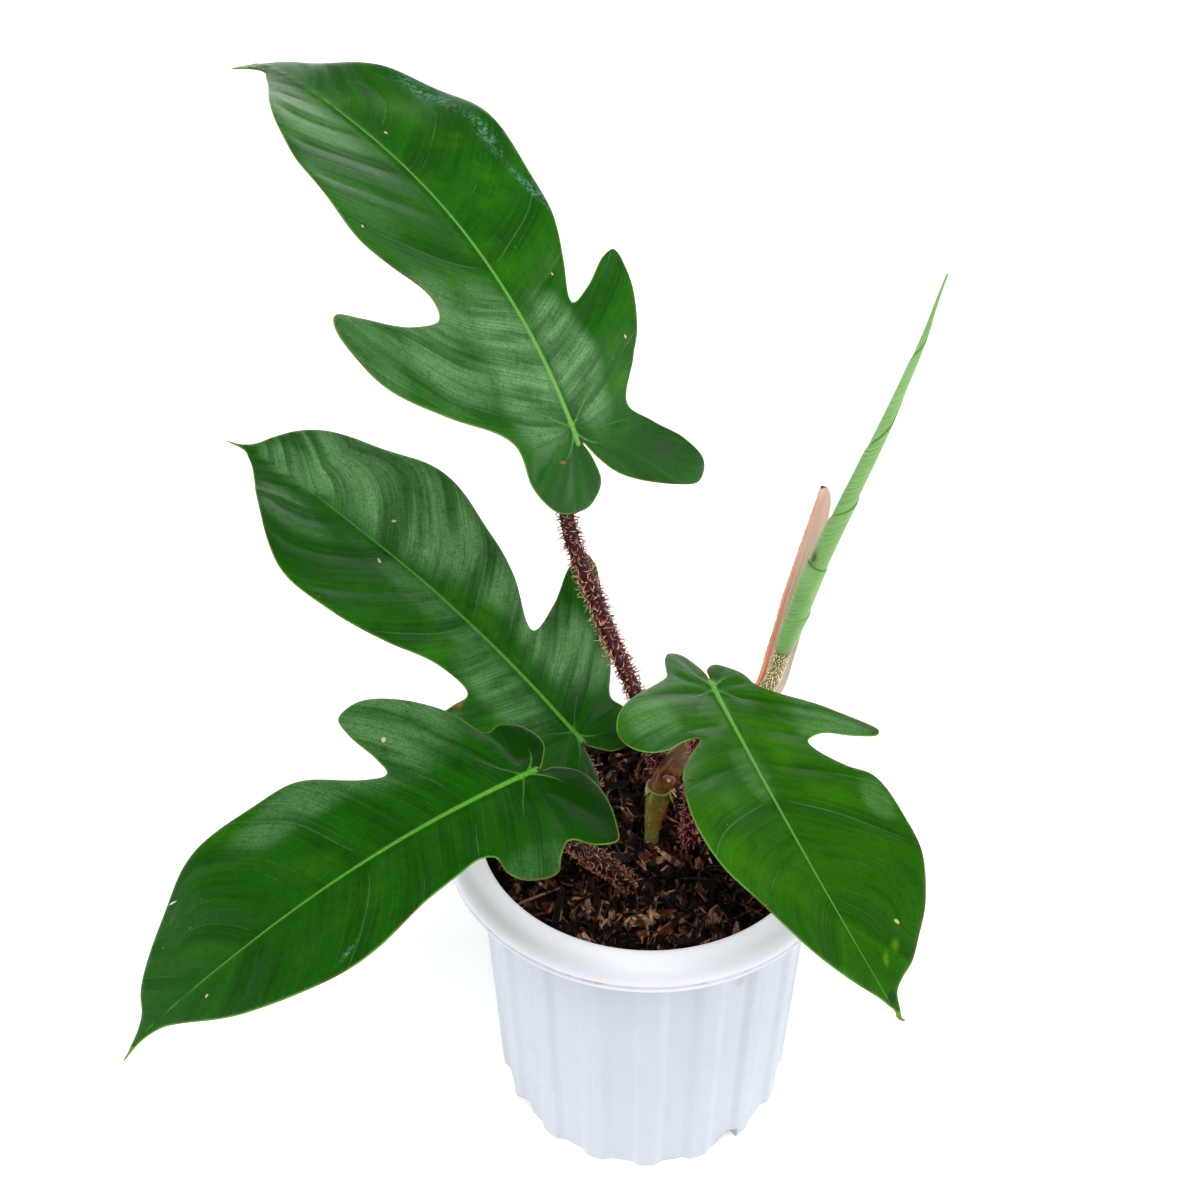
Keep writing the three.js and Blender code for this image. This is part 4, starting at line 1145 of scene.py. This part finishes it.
def blade_relief(across, out, edge, rib, strength, x, y, length, seed):
    """Height of the upper face: panels that bulge between the side veins, and raised ribs."""
    front = smoothstep(x, 0, 90)
    fade = smoothstep(out, 0.5, 12) * smoothstep(edge, 0, 7)
    panel = lerp(*PANEL_BULGE, front) * (crease(across, VEIN_STEP) - PANEL_LEVEL)
    minor = lerp(*MINOR_BULGE, front) * (crease(across, VEIN_STEP / 2) - PANEL_LEVEL)
    minor += FINE_BULGE * (crease(across, VEIN_STEP / 5) - PANEL_LEVEL)
    wide = rib * rib_half_width(max(x, 0), length)
    ridge = strength * (RIB_RIDGE * hump(rib, 0.9) - RIB_TROUGH * hump(wide - 2.4, 1.4))
    slack = SLACK * noise.noise(Vector((x, y, seed + 9)) / 24) * smoothstep(out, 4, 24)
    return (panel + minor) * fade + ridge + slack


def rib_depth(x, y, length):
    """How far the midrib stands out below the blade."""
    fade = clamp(1 - x / (length - 10)) * smoothstep(x, -3, 1)
    return RIB_KEEL_DEPTH * fade * hump(y, RIB_KEEL_WIDTH)


def blade_places(outline, length):
    """Flat places inside the outline, each with its distance from the edge: rows along the midrib,
    the veins of the joint, and a net over the rest."""
    low = min(point.x for point in outline)
    reach = max(abs(point.y) for point in outline)
    columns = range(round(low / BLADE_STEP), round(length / BLADE_STEP))
    wanted = [(i * BLADE_STEP, side * y) for y in RIB_ROWS for side in ((1, -1) if y else (1,))
              for i in columns]
    step = BLADE_STEP * math.sqrt(3) / 2
    for row in range(-round(reach / step), round(reach / step) + 1):
        shift = 0.5 * (row % 2)
        if abs(row * step) > RIB_ROWS[-1] + 0.5:
            wanted += [((i + shift) * BLADE_STEP, row * step) for i in columns]
    for line in joint_vein_lines():
        wanted += [(point.x + side * half, point.y) for point, half in line for side in (-0.9, 0, 0.9)]
    buckets = {}
    for point in outline + [a.lerp(b, 0.5) for a, b in zip(outline, outline[1:] + outline[:1])]:
        buckets.setdefault((round(point.x / EDGE_REACH), round(point.y / EDGE_REACH)), []).append(point)
    places = []
    for x, y in wanted:
        column, row = round(x / EDGE_REACH), round(y / EDGE_REACH)
        near = [point for i in (-1, 0, 1) for j in (-1, 0, 1)
                for point in buckets.get((column + i, row + j), ())]
        gaps = [(point.x - x) ** 2 + (point.y - y) ** 2 for point in near]
        edge = min(gaps, default=EDGE_REACH ** 2) ** 0.5
        if edge > MARGIN_CLEARANCE:
            places.append((Vector((x, y)), min(edge, EDGE_REACH)))
    return places


def blade_skin(blade, leaf, seed):
    """A blade as one closed skin: an upper and a lower face over the same net, joined at the margin."""
    outline = leaf_outline(leaf)
    places = blade_places(outline, blade.length)
    flat = outline + [place for place, _ in places]
    edge_of = [0.0] * len(outline) + [edge for _, edge in places]
    loop = [(i, (i + 1) % len(outline)) for i in range(len(outline))]
    points, _, faces, origins, _, _ = delaunay_2d_cdt(flat, loop, [list(range(len(outline)))], 1, 1e-5)
    skin = Skin("leaf_place", "vein_place", "rib_place")
    lines = joint_vein_lines()
    swing = leaf["swing"]
    used = sorted({corner for face in faces for corner in face})
    upper, lower = {}, {}
    for i in used:
        x, y = points[i]
        edge = edge_of[origins[i][0]] if origins[i] else 0.0
        level = y - rib_line(x, blade.length, swing)
        across, out = vein_place(x, level, blade.length)
        across += VEIN_WANDER * noise.noise(Vector((x, y, seed)) / 30)
        rib, strength = rib_closeness((x, y), blade.length, swing, lines)
        half = lerp(MARGIN_HALF, BLADE_HALF, smoothstep(edge, 0, 3))
        relief = blade_relief(across, out, edge, rib, strength, x, y, blade.length, seed)
        relief -= valley_depth(x, y, leaf["valleys"])
        bloom_and_painted_sheen = bloom_and_painted_sheen_at(x, y, leaf["bloom_and_painted_sheen"])
        upper[i] = skin.add(blade.at(x, y, relief + half), (x, y, edge), (across, out, 0),
                            (rib, bloom_and_painted_sheen, strength))
        depth = half + rib_depth(x, level, blade.length)
        lower[i] = skin.add(blade.at(x, y, relief - depth), (x, y, edge), (across, out, 1),
                            (rib, 0, strength))
    sides = {}
    for face in faces:
        a, b, c = (points[i] for i in face)
        if (b - a).cross(c - a) < 0:
            face = face[::-1]
        skin.faces.append([upper[i] for i in face])
        skin.faces.append([lower[i] for i in reversed(face)])
        for first, second in zip(face, face[1:] + face[:1]):
            if sides.pop((second, first), None) is None:
                sides[(first, second)] = True
    for first, second in sides:
        skin.faces.append([upper[second], upper[first], lower[first], lower[second]])
    return skin


# Stalks

def add_bristle(skin, root, direction, axis, length, thickness, curl, lot, along):
    """A tapered bristle that curls about an axis; four sides and a point."""
    starts = []
    place = root.copy()
    for ring in range(BRISTLE_RINGS):
        share = ring / BRISTLE_RINGS
        heading = Matrix.Rotation(curl * share, 3, axis) @ direction
        across = axis.cross(heading)
        radius = thickness * (1 - 0.72 * share)
        starts.append(len(skin.points))
        for angle in angles_round(4):
            skin.add(place + spoke(axis, across, angle + math.pi / 4) * radius, (share, lot, along))
        place = place + heading * (length / BRISTLE_RINGS)
    tip = skin.add(place, (1, lot, along))
    foot = skin.add(root - direction * 0.1, (0, lot, along))
    skin.close_rings(starts, 4, foot, tip)


def round_stalk(row, radii, sink, count, wobble, dice):
    """Places set round a stalk by the golden angle, each shifted a little by chance: the share
    along it, the place, the stalk's direction there and the direction outward."""
    frames = frames_along(row)
    for i in range(count):
        share = (i + dice.random()) / count
        at = round(share * (len(row) - 1))
        tangent, side, other = frames[at]
        outward = spoke(side, other, i * GOLDEN_ANGLE + dice.uniform(-wobble, wobble))
        yield share, row[at] + outward * (value_along(radii, share) * sink), tangent, outward


def petiole_row(leaf, blade):
    petiole = leaf["petiole"]
    before = blade.at(JOINT_INSET, 0, -JOINT_APPROACH)
    joint = blade.at(JOINT_INSET, 0, -JOINT_SINK)
    return spaced(curve_through([petiole["start"], *petiole["path"], before, joint]), 1.0)


def make_petiole(name, leaf, blade, finish):
    """A knobbly stalk with curly bristles all round it, down to the soil."""
    petiole = leaf["petiole"]
    row = petiole_row(leaf, blade)
    dice = random.Random(petiole["seed"])
    skin = Skin("bristle_place")

    def radius(share, angle):
        knob = noise.noise(Vector((math.cos(angle) * 2.2, math.sin(angle) * 2.2, share * len(row) * 0.6)))
        return value_along(petiole["radius"], share) * (0.96 + 0.07 * knob)

    add_rod(skin, row, radius, PETIOLE_SIDES, lambda share, angle: ((0, 0, share),))
    roots = round_stalk(row, petiole["radius"], BRISTLE_SINK, petiole["bristles"], 0.3, dice)
    for share, root, tangent, outward in roots:
        if root.z < SOIL_TOP + 1:
            continue
        around = tangent.cross(outward)
        lean = tangent * dice.uniform(-0.75, 0.55) + around * dice.uniform(-0.5, 0.5)
        direction = (outward + lean).normalized()
        axis = direction.cross(tangent * dice.uniform(-1, 1) + around * dice.uniform(-1, 1)).normalized()
        length = dice.uniform(*BRISTLE_LENGTHS) * lerp(1, 0.7, smoothstep(share, 0.88, 1))
        thickness = dice.uniform(*BRISTLE_THICKNESSES)
        curl = dice.uniform(*BRISTLE_CURLS)
        add_bristle(skin, root, direction, axis, length, thickness, curl, dice.random(), share)
    make_piece(f"{name}_petiole_bristly", skin, finish, [f"{name}_petiole"])


def make_leaf(name, leaf):
    blade = Blade(leaf)
    skin = blade_skin(blade, leaf, leaf["petiole"]["seed"])
    make_piece(f"{name}_blade_veined", skin, leaf_skin(f"{name}_skin", leaf), [f"{name}_blade"])
    make_petiole(name, leaf, blade, petiole_skin(f"{name}_petiole_skin", *leaf["petiole"]["tints"]))


# Pot

def flute_depth(angle):
    """Depth of the wall at an angle from the front: raised ribs between shallow panels."""
    pitch = 360 / FLUTE_COUNT
    from_rib = abs((math.degrees(angle) + pitch / 2) % pitch - pitch / 2)
    return FLUTE_DEPTH * smoothstep(from_rib, *FLUTE_RIB)


def pot_profile():
    """(radius, height, share of flute) from the middle of the underside out and round to the floor."""
    wall = [(lerp(POT_FOOT_RADIUS, POT_NECK_RADIUS, z / FLUTE_TOP), z, 1) for z in WALL_HEIGHTS]
    faded = [(POT_NECK_RADIUS, height, share) for height, share in FLUTE_FADE]
    edge = [(radius, height, 0) for radius, height in UNDER_RIM + BEAD]
    (centre, level), (wide, tall) = RIM_CENTRE, RIM_RADII
    roll = []
    for degrees in ROLL_DEGREES:
        turn = math.radians(degrees)
        roll.append((centre + wide * math.cos(turn), level + tall * math.sin(turn), 0))
    inner = POT_FOOT_RADIUS - (POT_WALL + FLUTE_DEPTH)
    inside = [(inner + 1, 6, 0), (inner, POT_FLOOR, 0), (POT_FOOT[0][0], POT_FLOOR, 0)]
    return POT_FOOT + wall + faded + edge + roll + POT_LIP + inside


def pot_skin():
    skin = Skin()
    starts = []
    for radius, height, fluted in pot_profile():
        starts.append(len(skin.points))
        for angle in angles_round(POT_SIDES):
            reach = radius - fluted * flute_depth(angle)
            skin.add(Vector((reach * math.sin(angle), -reach * math.cos(angle), height)))
    underside = skin.add(Vector((0, 0, 0)))
    floor = skin.add(Vector((0, 0, POT_FLOOR)))
    skin.close_rings(starts, POT_SIDES, underside, floor)
    return skin


def notch_cutter():
    """Four blocks that cut the drain notches out of the foot."""
    skin = Skin()
    width, depth, height = NOTCH_SIZE
    for degrees in NOTCH_ANGLES:
        turn = Matrix.Rotation(math.radians(degrees), 3, "Z")
        first = len(skin.points)
        for z in (-2, height):
            for x, y in SQUARE:
                slant = NOTCH_SLANT if z > 0 and x < 0 else 0
                skin.add(turn @ Vector(((x / 2 + slant) * width, y * depth / 2 - POT_FOOT_RADIUS, z)))
        skin.faces.append([first + i for i in (3, 2, 1, 0)])
        skin.faces.append([first + i for i in (4, 5, 6, 7)])
        skin.ring_strip(first, first + 4, 4)
    return add_object("notch_cutter", skin.mesh("notch_cutter"))


def make_pot():
    """The turned and fluted pot, with its drain notches cut and the cutter thrown away."""
    pot = make_piece("pot_moulded", pot_skin(), pot_plastic(), ["pot"])
    cutter = notch_cutter()
    cut = pot.modifiers.new("notches", "BOOLEAN")
    cut.operation = "DIFFERENCE"
    cut.solver = "EXACT"
    cut.object = cutter
    bpy.context.view_layer.update()
    notched = bpy.data.meshes.new_from_object(pot.evaluated_get(bpy.context.evaluated_depsgraph_get()))
    pot.modifiers.clear()
    pot.data = notched
    bpy.data.objects.remove(cutter)


# Soil

def soil_bump(x, y):
    ripple = math.sin(x * 0.21 + 1) * math.cos(y * 0.17) + 0.6 * math.sin(x * 0.43 - y * 0.38)
    return SOIL_BUMP * 0.5 * (ripple + 0.5 * math.sin(y * 0.61 + x * 0.12))


def soil_height(x, y):
    rough = noise.fractal(Vector((x, y, 3)) / 5, 1.0, 2.0, 4)
    return SOIL_TOP - 0.6 + soil_bump(x, y) + 0.9 * rough


def make_soil_bed(finish):
    """The damp crumb under the loose bark, which fills the pot."""
    skin = Skin()
    starts = []

    def add_circle(radius, height_at):
        starts.append(len(skin.points))
        for angle in angles_round(SOIL_SIDES):
            x, y = radius * math.cos(angle), radius * math.sin(angle)
            skin.add(Vector((x, y, height_at(x, y))))

    add_circle(SOIL_LOW_RADIUS, lambda x, y: SOIL_FOOT)
    for inset, height in SOIL_SIDE:
        add_circle(SOIL_RADIUS - inset, lambda x, y: height)
    count = round(SOIL_RADIUS)
    for ring in range(count, 0, -1):
        add_circle(SOIL_RADIUS * ring / count, soil_height)
    foot = skin.add(Vector((0, 0, SOIL_FOOT)))
    top = skin.add(Vector((0, 0, soil_height(0, 0))))
    skin.close_rings(starts, SOIL_SIDES, foot, top)
    make_piece("soil_bed", skin, finish, ["soil"])


def add_chip(skin, dice, place, turn, length, width, thickness, lot):
    """A split, slightly bent piece of bark with uneven sides and ragged ends, kept inside the pot."""
    corners = range(len(CHIP_SECTION))
    bend = dice.uniform(-0.16, 0.16) * length
    starts = []
    for station in range(CHIP_STATIONS):
        share = station / (CHIP_STATIONS - 1)
        along = (share - 0.5) * length
        belly = 1 - 0.75 * abs(2 * share - 1) ** dice.uniform(1.5, 3.5)
        half = 0.5 * width * belly * dice.uniform(0.75, 1.15)
        rise = bend * (1 - (2 * share - 1) ** 2)
        tall = 0.5 * thickness * (0.5 + 0.5 * belly)
        starts.append(len(skin.points))
        for side, top in CHIP_SECTION:
            jag = dice.uniform(-0.12, 0.12) * width
            point = place + turn @ Vector((along + jag, side * half, top * tall + rise))
            reach = math.hypot(point.x, point.y)
            if reach > SOIL_RADIUS:
                point.x *= SOIL_RADIUS / reach
                point.y *= SOIL_RADIUS / reach
            skin.add(point, (along, side, lot))
    skin.join_rings(starts, len(corners))
    skin.faces.append([starts[0] + i for i in reversed(corners)])
    skin.faces.append([starts[-1] + i for i in corners])


def scattered(dice, count, reach):
    """Places spread evenly over the soil, each shifted a little by chance."""
    for i in range(count):
        distance = reach * math.sqrt((i + dice.random()) / count)
        angle = i * GOLDEN_ANGLE + dice.uniform(-0.2, 0.2)
        yield distance * math.cos(angle), distance * math.sin(angle)


def any_heading(dice):
    return Matrix.Rotation(dice.uniform(0, 2 * math.pi), 3, "Z")


def make_chips(finish):
    """Loose bark that lies every way, and crumbs of it strewn over and between."""
    skin = Skin("chip_place")
    dice = random.Random(CHIP_SEED)
    for x, y in scattered(dice, CHIP_COUNT, SOIL_RADIUS - 1.5):
        length = dice.triangular(*CHIP_LENGTHS)
        if length < LONG_CHIP:
            width = min(dice.uniform(*CHIP_WIDTHS), length * 0.55)
        else:
            width = dice.uniform(*LONG_CHIP_WIDTHS)
        tilt = Matrix.Rotation(dice.gauss(0, 0.6), 3, "Y") @ Matrix.Rotation(dice.gauss(0, 1.1), 3, "X")
        turn = any_heading(dice) @ tilt
        place = Vector((x, y, soil_height(x, y) + dice.uniform(-0.6, 2.6)))
        lot = dice.random() ** 1.2
        add_chip(skin, dice, place, turn, length, width, dice.uniform(*CHIP_THICKNESSES), lot)
    for x, y in scattered(dice, CRUMB_COUNT, SOIL_RADIUS - 1):
        turn = any_heading(dice) @ Matrix.Rotation(dice.uniform(-1, 1), 3, "X")
        place = Vector((x, y, soil_height(x, y) + dice.uniform(0.3, 2.2)))
        size = dice.uniform(*CRUMB_SIZES)
        add_chip(skin, dice, place, turn, size, size * 0.7, size * 0.5, dice.random() * 0.95)
    make_piece("bark_chips", skin, finish, ["soil"], smooth=False)


def add_fibre(skin, points, thickness, taper, sides, grain_length, lot):
    row = spaced(curve_through(points, parts=6), FIBRE_STEP)
    add_rod(skin, row, lambda share, angle: thickness * (1 - taper * share), sides,
            lambda share, angle: ((share * grain_length, angle, lot),))


def make_fibres(finish):
    """Thin husk fibres and rootlets that lie over the chips in loose curves."""
    skin = Skin("chip_place")
    dice = random.Random(FIBRE_SEED)
    for x, y in scattered(dice, FIBRE_COUNT, SOIL_RADIUS - 5):
        heading = dice.uniform(0, 2 * math.pi)
        length = dice.uniform(*FIBRE_LENGTHS)
        points = []
        for _ in range(FIBRE_POINTS):
            heading += dice.uniform(-0.6, 0.6)
            points.append(Vector((x, y, soil_height(x, y) + dice.uniform(1.0, 2.3))))
            x += math.cos(heading) * length / (FIBRE_POINTS - 1)
            y += math.sin(heading) * length / (FIBRE_POINTS - 1)
            if math.hypot(x, y) > SOIL_RADIUS - 1:
                break
        if len(points) < 3:
            continue
        thickness = dice.uniform(*FIBRE_THICKNESSES)
        add_fibre(skin, points, thickness, 0.6, 5, length, dice.uniform(0.6, 1))
    for points, thickness, lot in LONG_FIBRES:
        add_fibre(skin, points, thickness, 0.4, 6, 20, lot)
    make_piece("husk_fibres", skin, finish, ["soil"])


# Stem

def add_ring(skin, loop, thickness, mark):
    """A thin closed ring along a loop of points."""
    middle = sum(loop, Vector((0, 0, 0))) / len(loop)
    starts = []
    for i, point in enumerate(loop):
        ahead = (loop[(i + 1) % len(loop)] - loop[i - 1]).normalized()
        out = (point - middle).normalized()
        up = ahead.cross(out)
        starts.append(len(skin.points))
        for angle in angles_round(RING_SIDES):
            skin.add(point + spoke(out, up, angle) * thickness, mark)
    for low, high in zip(starts, starts[1:] + starts[:1]):
        skin.ring_strip(high, low, RING_SIDES)


def add_scar(skin, scar, inside):
    """The uneven ring that an old leaf left, over a thicker collar drawn in towards the stem."""
    ring = []
    for angle in angles_round(SCAR_POINTS):
        flat = Vector((math.cos(angle), math.sin(angle), 0.06 * math.sin(2 * angle)))
        ring.append(scar + flat * SCAR_RADIUS * (1 + 0.04 * math.sin(3 * angle)))
    collar = [point.lerp(inside, 0.16) - UP * 1.2 for point in ring]
    add_ring(skin, ring, 0.48, (149, DRY_PART, 0.35))
    add_ring(skin, collar, 0.9, (149, DRY_PART, 0.0))


def add_shreds(skin, scar):
    """Dry shreds of the old leaf's sheath that hang from the scar."""
    dice = random.Random(SHRED_SEED)

    def half_width(share, turn):
        return 0.85 * (1 - 0.65 * share) * (0.3 + 0.7 * abs(math.cos(turn)))

    def marks(share, turn):
        return ((148, DRY_PART, 0.55 + 0.45 * share),)

    for degrees, length in SHREDS:
        angle = math.radians(degrees)
        out = Vector((math.cos(angle), math.sin(angle), 0))
        root = scar + out * (SCAR_RADIUS - 0.3)
        bend = root + out * 0.9 - UP * length * 0.5
        end = root + out * dice.uniform(0.3, 2.6) - UP * length
        row = spaced(curve_through([root, bend, end], parts=6), 0.6)
        add_rod(skin, row, half_width, SHRED_SIDES, marks)


def add_bud(skin, place, inside):
    """A round pale bud inside a raised collar, facing out from the stem."""
    out = (place - inside).normalized()
    side = out.orthogonal().normalized()
    other = out.cross(side)
    collar = [place + spoke(side, other, angle) * BUD_COLLAR_RADIUS
              for angle in angles_round(BUD_COLLAR_POINTS)]
    add_ring(skin, collar, 0.62, (158, BUD_PART, 0.2))
    foot = place - out * BUD_SINK
    starts = []
    for ring in range(BUD_RINGS):
        rise = math.pi / 2 * ring / BUD_RINGS
        starts.append(len(skin.points))
        for angle in angles_round(BUD_SIDES):
            wide = spoke(side, other, angle) * (BUD_RADIUS * math.cos(rise))
            tall = out * (BUD_LENGTH * math.sin(rise))
            skin.add(foot + wide + tall, (158, BUD_PART, smoothstep(ring, 1, 4)))
    tip = skin.add(place + out, (158, BUD_PART, 1))
    middle = skin.add(foot, (158, BUD_PART, 0))
    skin.close_rings(starts, BUD_SIDES, middle, tip)


def make_stem(finish):
    """Two lengths of stem with the old leaf's scar, dry shreds of its sheath, and a bud."""
    skin = Skin("stem_place")
    row = spaced(curve_through(STEM_PATH), STALK_STEP)
    scar = Vector(SCAR_AT)

    def radius(share, angle):
        ripple = noise.noise(Vector((math.cos(angle), math.sin(angle), share * 30)))
        return value_along(STEM_RADII, share) * (1 + 0.03 * ripple)

    def marks(share, angle):
        return ((row[round(share * (len(row) - 1))].z, 0, 0),)

    add_rod(skin, row, radius, STEM_SIDES, marks)
    near = min(range(len(row)), key=lambda i: (row[i] - scar).length)
    add_scar(skin, scar, row[near])
    add_shreds(skin, scar)
    add_bud(skin, Vector(BUD_AT), row[near + BUD_STEPS_UP])
    make_piece("stem_bark_and_bud", skin, finish, ["stem"])


# New growth

def make_new_stalk(finish):
    """The new leaf's stalk, covered in short blunt warts."""
    skin = Skin("wart_place")
    row = spaced(curve_through(SHOOT_PATH), STALK_STEP)
    dice = random.Random(WART_SEED)
    add_rod(skin, row, lambda share, angle: value_along(SHOOT_RADII, share) * 0.93, SHOOT_SIDES,
            lambda share, angle: ((0, 0, share),))
    for share, root, tangent, outward in round_stalk(row, SHOOT_RADII, WART_SINK, WART_COUNT, 0.2, dice):
        direction = (outward + tangent * dice.uniform(-0.5, 0.5)).normalized()
        axis = direction.cross(tangent).normalized()
        length = dice.uniform(*WART_LENGTHS)
        thickness = dice.uniform(*WART_THICKNESSES)
        curl = dice.uniform(*WART_CURLS)
        add_bristle(skin, root, direction, axis, length, thickness, curl, dice.random(), share)
    make_piece("new_leaf_petiole_warty", skin, finish, ["new_leaf_petiole"])


def wrap_angle(share):
    """Where round the roll its free edge lies, in radians, at a share of its length."""
    for (low, start), (high, end) in zip(SPEAR_WRAPS, SPEAR_WRAPS[1:]):
        if share <= high:
            return math.radians(lerp(start, end, (share - low) / (high - low)))
    return math.radians(SPEAR_WRAPS[-1][1])


def make_spear(finish):
    """The rolled leaf: a tapering roll whose free edge winds up round it as a low step. Near the
    foot an outer turn of the blade ends in a collar, with a hollow in the roll over it."""
    skin = Skin("roll_place")
    row = spaced(curve_through(SPEAR_PATH), ROLL_STEP)
    length = ROLL_STEP * (len(row) - 1)
    starts = []
    for i, (point, (_, side, other)) in enumerate(zip(row, frames_along(row))):
        share = i / (len(row) - 1)
        seam = wrap_angle(share)
        radius = value_along(SPEAR_RADII, share)
        step = min(0.5, radius * 0.18)
        starts.append(len(skin.points))
        for angle in angles_round(ROLL_SIDES):
            past = (angle - seam) % (2 * math.pi)
            lift = step * (smoothstep(past, 0, 0.13) - past / (2 * math.pi))
            sideways = math.cos(angle - math.pi / 2)
            above = (share - lerp(*SPEAR_COLLAR, 0.5 - 0.5 * sideways)) * length
            lift += COLLAR_THICKNESS * (1 - smoothstep(above, -0.2, 0.3))
            edge = min(past * radius, (2 * math.pi - past) * radius * 3, abs(above - 0.2) * 1.2)
            hollow = hump(math.degrees(angle) - HOLLOW_AT[0], HOLLOW_SIZE[0])
            hollow *= hump(above - HOLLOW_AT[1], HOLLOW_SIZE[1])
            reach = radius - step * 0.3 + lift - HOLLOW_DEPTH * hollow
            ring = share * length + 1.2 * radius * sideways
            skin.add(point + spoke(side, other, angle) * reach, (edge, ring, hollow))
    foot = skin.add(row[0], (2, 0, 0))
    tip = skin.add(row[-1], (2, length, 0))
    skin.close_rings(starts, ROLL_SIDES, foot, tip)
    make_piece("new_leaf_roll", skin, finish, ["new_leaf_rolled"])


def sheath_frames(row):
    """(across, opening) at each point of a row: to the right, and out to the open front."""
    frames = []
    for i in range(len(row)):
        tangent = tangent_at(row, i)
        across = Vector(SHEATH_ACROSS)
        across = (across - tangent * across.dot(tangent)).normalized()
        frames.append((across, across.cross(tangent).normalized()))
    return frames


def add_sheath_face(skin, row, face):
    """The sheath's outer face, or its inner one where face is 1, as rows across it. Gives where
    each row starts."""
    starts = []
    for i, (point, (across, opening)) in enumerate(zip(row, sheath_frames(row))):
        share = i / (len(row) - 1)
        radius = value_along(SHEATH_RADII, share)
        closing = math.sqrt(max(0, 1 - (clamp((share - 0.9) / 0.1) ** 2)))
        starts.append(len(skin.points))
        for k in range(SHEATH_FAN + 1):
            turn = -1 + (k / SHEATH_FAN * 2) * lerp(0.12, 1, closing)
            angle = turn * math.radians(SHEATH_SPREAD) / 2
            keel = smoothstep(-turn, lerp(0.34, 0.7, share), lerp(0.58, 0.88, share))
            thick = lerp(SHEATH_THIN, lerp(*SHEATH_THICK, share), keel) * min(1, radius / 3)
            grit = keel * (1 - face) * 0.3 * noise.noise(point * 1.3 + Vector((turn * 11, 0, 0)))
            flare = SHEATH_FLARE * smoothstep(turn, 0.1, 1) * (1 - smoothstep(share, 0.12, 0.55))
            reach = radius - face * thick + grit + flare
            out = across * math.sin(angle) - opening * math.cos(angle)
            skin.add(point + out * reach, (turn, share, keel))
    return starts


def make_sheath(finish):
    """A thin channel open to the front, with a thick warty edge on its left and a pointed top."""
    skin = Skin("sheath_place")
    row = spaced(curve_through(SHEATH_PATH), STALK_STEP)
    fan = SHEATH_FAN
    outside = add_sheath_face(skin, row, 0)
    inside = add_sheath_face(skin, row, 1)
    for low, high in zip(outside, outside[1:]):
        skin.ring_strip(low, high, fan + 1, closed=False)
    for low, high in zip(inside, inside[1:]):
        skin.ring_strip(high, low, fan + 1, closed=False)
    for outer, inner, next_outer, next_inner in zip(outside, inside, outside[1:], inside[1:]):
        skin.faces.append((outer, next_outer, next_inner, inner))
        skin.faces.append((outer + fan, inner + fan, next_inner + fan, next_outer + fan))
    for k in range(fan):
        outer, inner = outside[0] + k, inside[0] + k
        skin.faces.append((outer, inner, inner + 1, outer + 1))
        outer, inner = outside[-1] + k, inside[-1] + k
        skin.faces.append((outer, outer + 1, inner + 1, inner))
    make_piece("new_leaf_sheath_keeled", skin, finish, ["new_leaf_sheath"])


# Stage

def make_camera():
    data = bpy.data.cameras.new("camera")
    data.lens = CAMERA_LENS
    data.sensor_width = CAMERA_SENSOR
    camera = add_object("camera", data)
    pitch = Matrix.Rotation(math.radians(90 - CAMERA_PITCH), 4, "X")
    roll = Matrix.Rotation(math.radians(CAMERA_ROLL), 4, "Z")
    camera.matrix_world = Matrix.Translation(Vector(CAMERA_PLACE) * MM) @ pitch @ roll
    bpy.context.scene.camera = camera


def make_floor():
    mesh = bpy.data.meshes.new("floor")
    corners = [(x * FLOOR_REACH, y * FLOOR_REACH, -FLOOR_DROP) for x, y in SQUARE]
    mesh.from_pydata(corners, [], [(0, 1, 2, 3)])
    mesh.materials.append(floor_finish())
    add_object("floor", mesh)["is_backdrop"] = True


def make_sky_lamp(name, aim, strength, spread):
    """Even soft light from one side, the same over the whole floor. aim is where it comes from."""
    data = bpy.data.lights.new(name, "SUN")
    data.energy = strength
    data.angle = math.radians(spread)
    add_object(name, data).rotation_euler = Vector(aim).to_track_quat("Z", "Y").to_euler()


def make_panel(name, place, size, power):
    """A soft rectangular light that the camera doesn't see."""
    data = bpy.data.lights.new(name, "AREA")
    data.shape = "RECTANGLE"
    data.size, data.size_y = size
    data.energy = power
    panel = add_object(name, data)
    panel.location = place
    panel.rotation_euler = (Vector(PANEL_TARGET) - Vector(place)).to_track_quat("-Z", "Y").to_euler()
    panel.visible_camera = False


def make_studio():
    make_floor()
    for name, aim, strength, spread in SKY_LAMPS:
        make_sky_lamp(name, aim, strength, spread)
    for name, place, size, power in PANELS:
        make_panel(name, place, size, power)
    world = bpy.data.worlds.new("studio")
    world.use_nodes = True
    background = world.node_tree.nodes["Background"]
    background.inputs["Color"].default_value = WORLD_TINT
    background.inputs["Strength"].default_value = WORLD_STRENGTH
    bpy.context.scene.world = world
    bpy.context.scene.view_settings.view_transform = "Standard"


def write_size():
    """The CAD box and the visual model's box, gathered but neither written nor compared."""
    boxes = {name: [list(corner) for corner in box] for name, box in (("cad", CAD_BOX), ("visual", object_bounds()))}


make_camera()
make_studio()
make_pot()
make_soil_bed(soil_bed_finish())
bark = bark_chip_finish()
make_chips(bark)
make_fibres(bark)
make_stem(stem_bark())
for leaf_name, leaf_facts in LEAVES.items():
    make_leaf(leaf_name, leaf_facts)
make_new_stalk(new_stalk_skin())
make_spear(new_leaf_skin())
make_sheath(sheath_skin())
write_size()
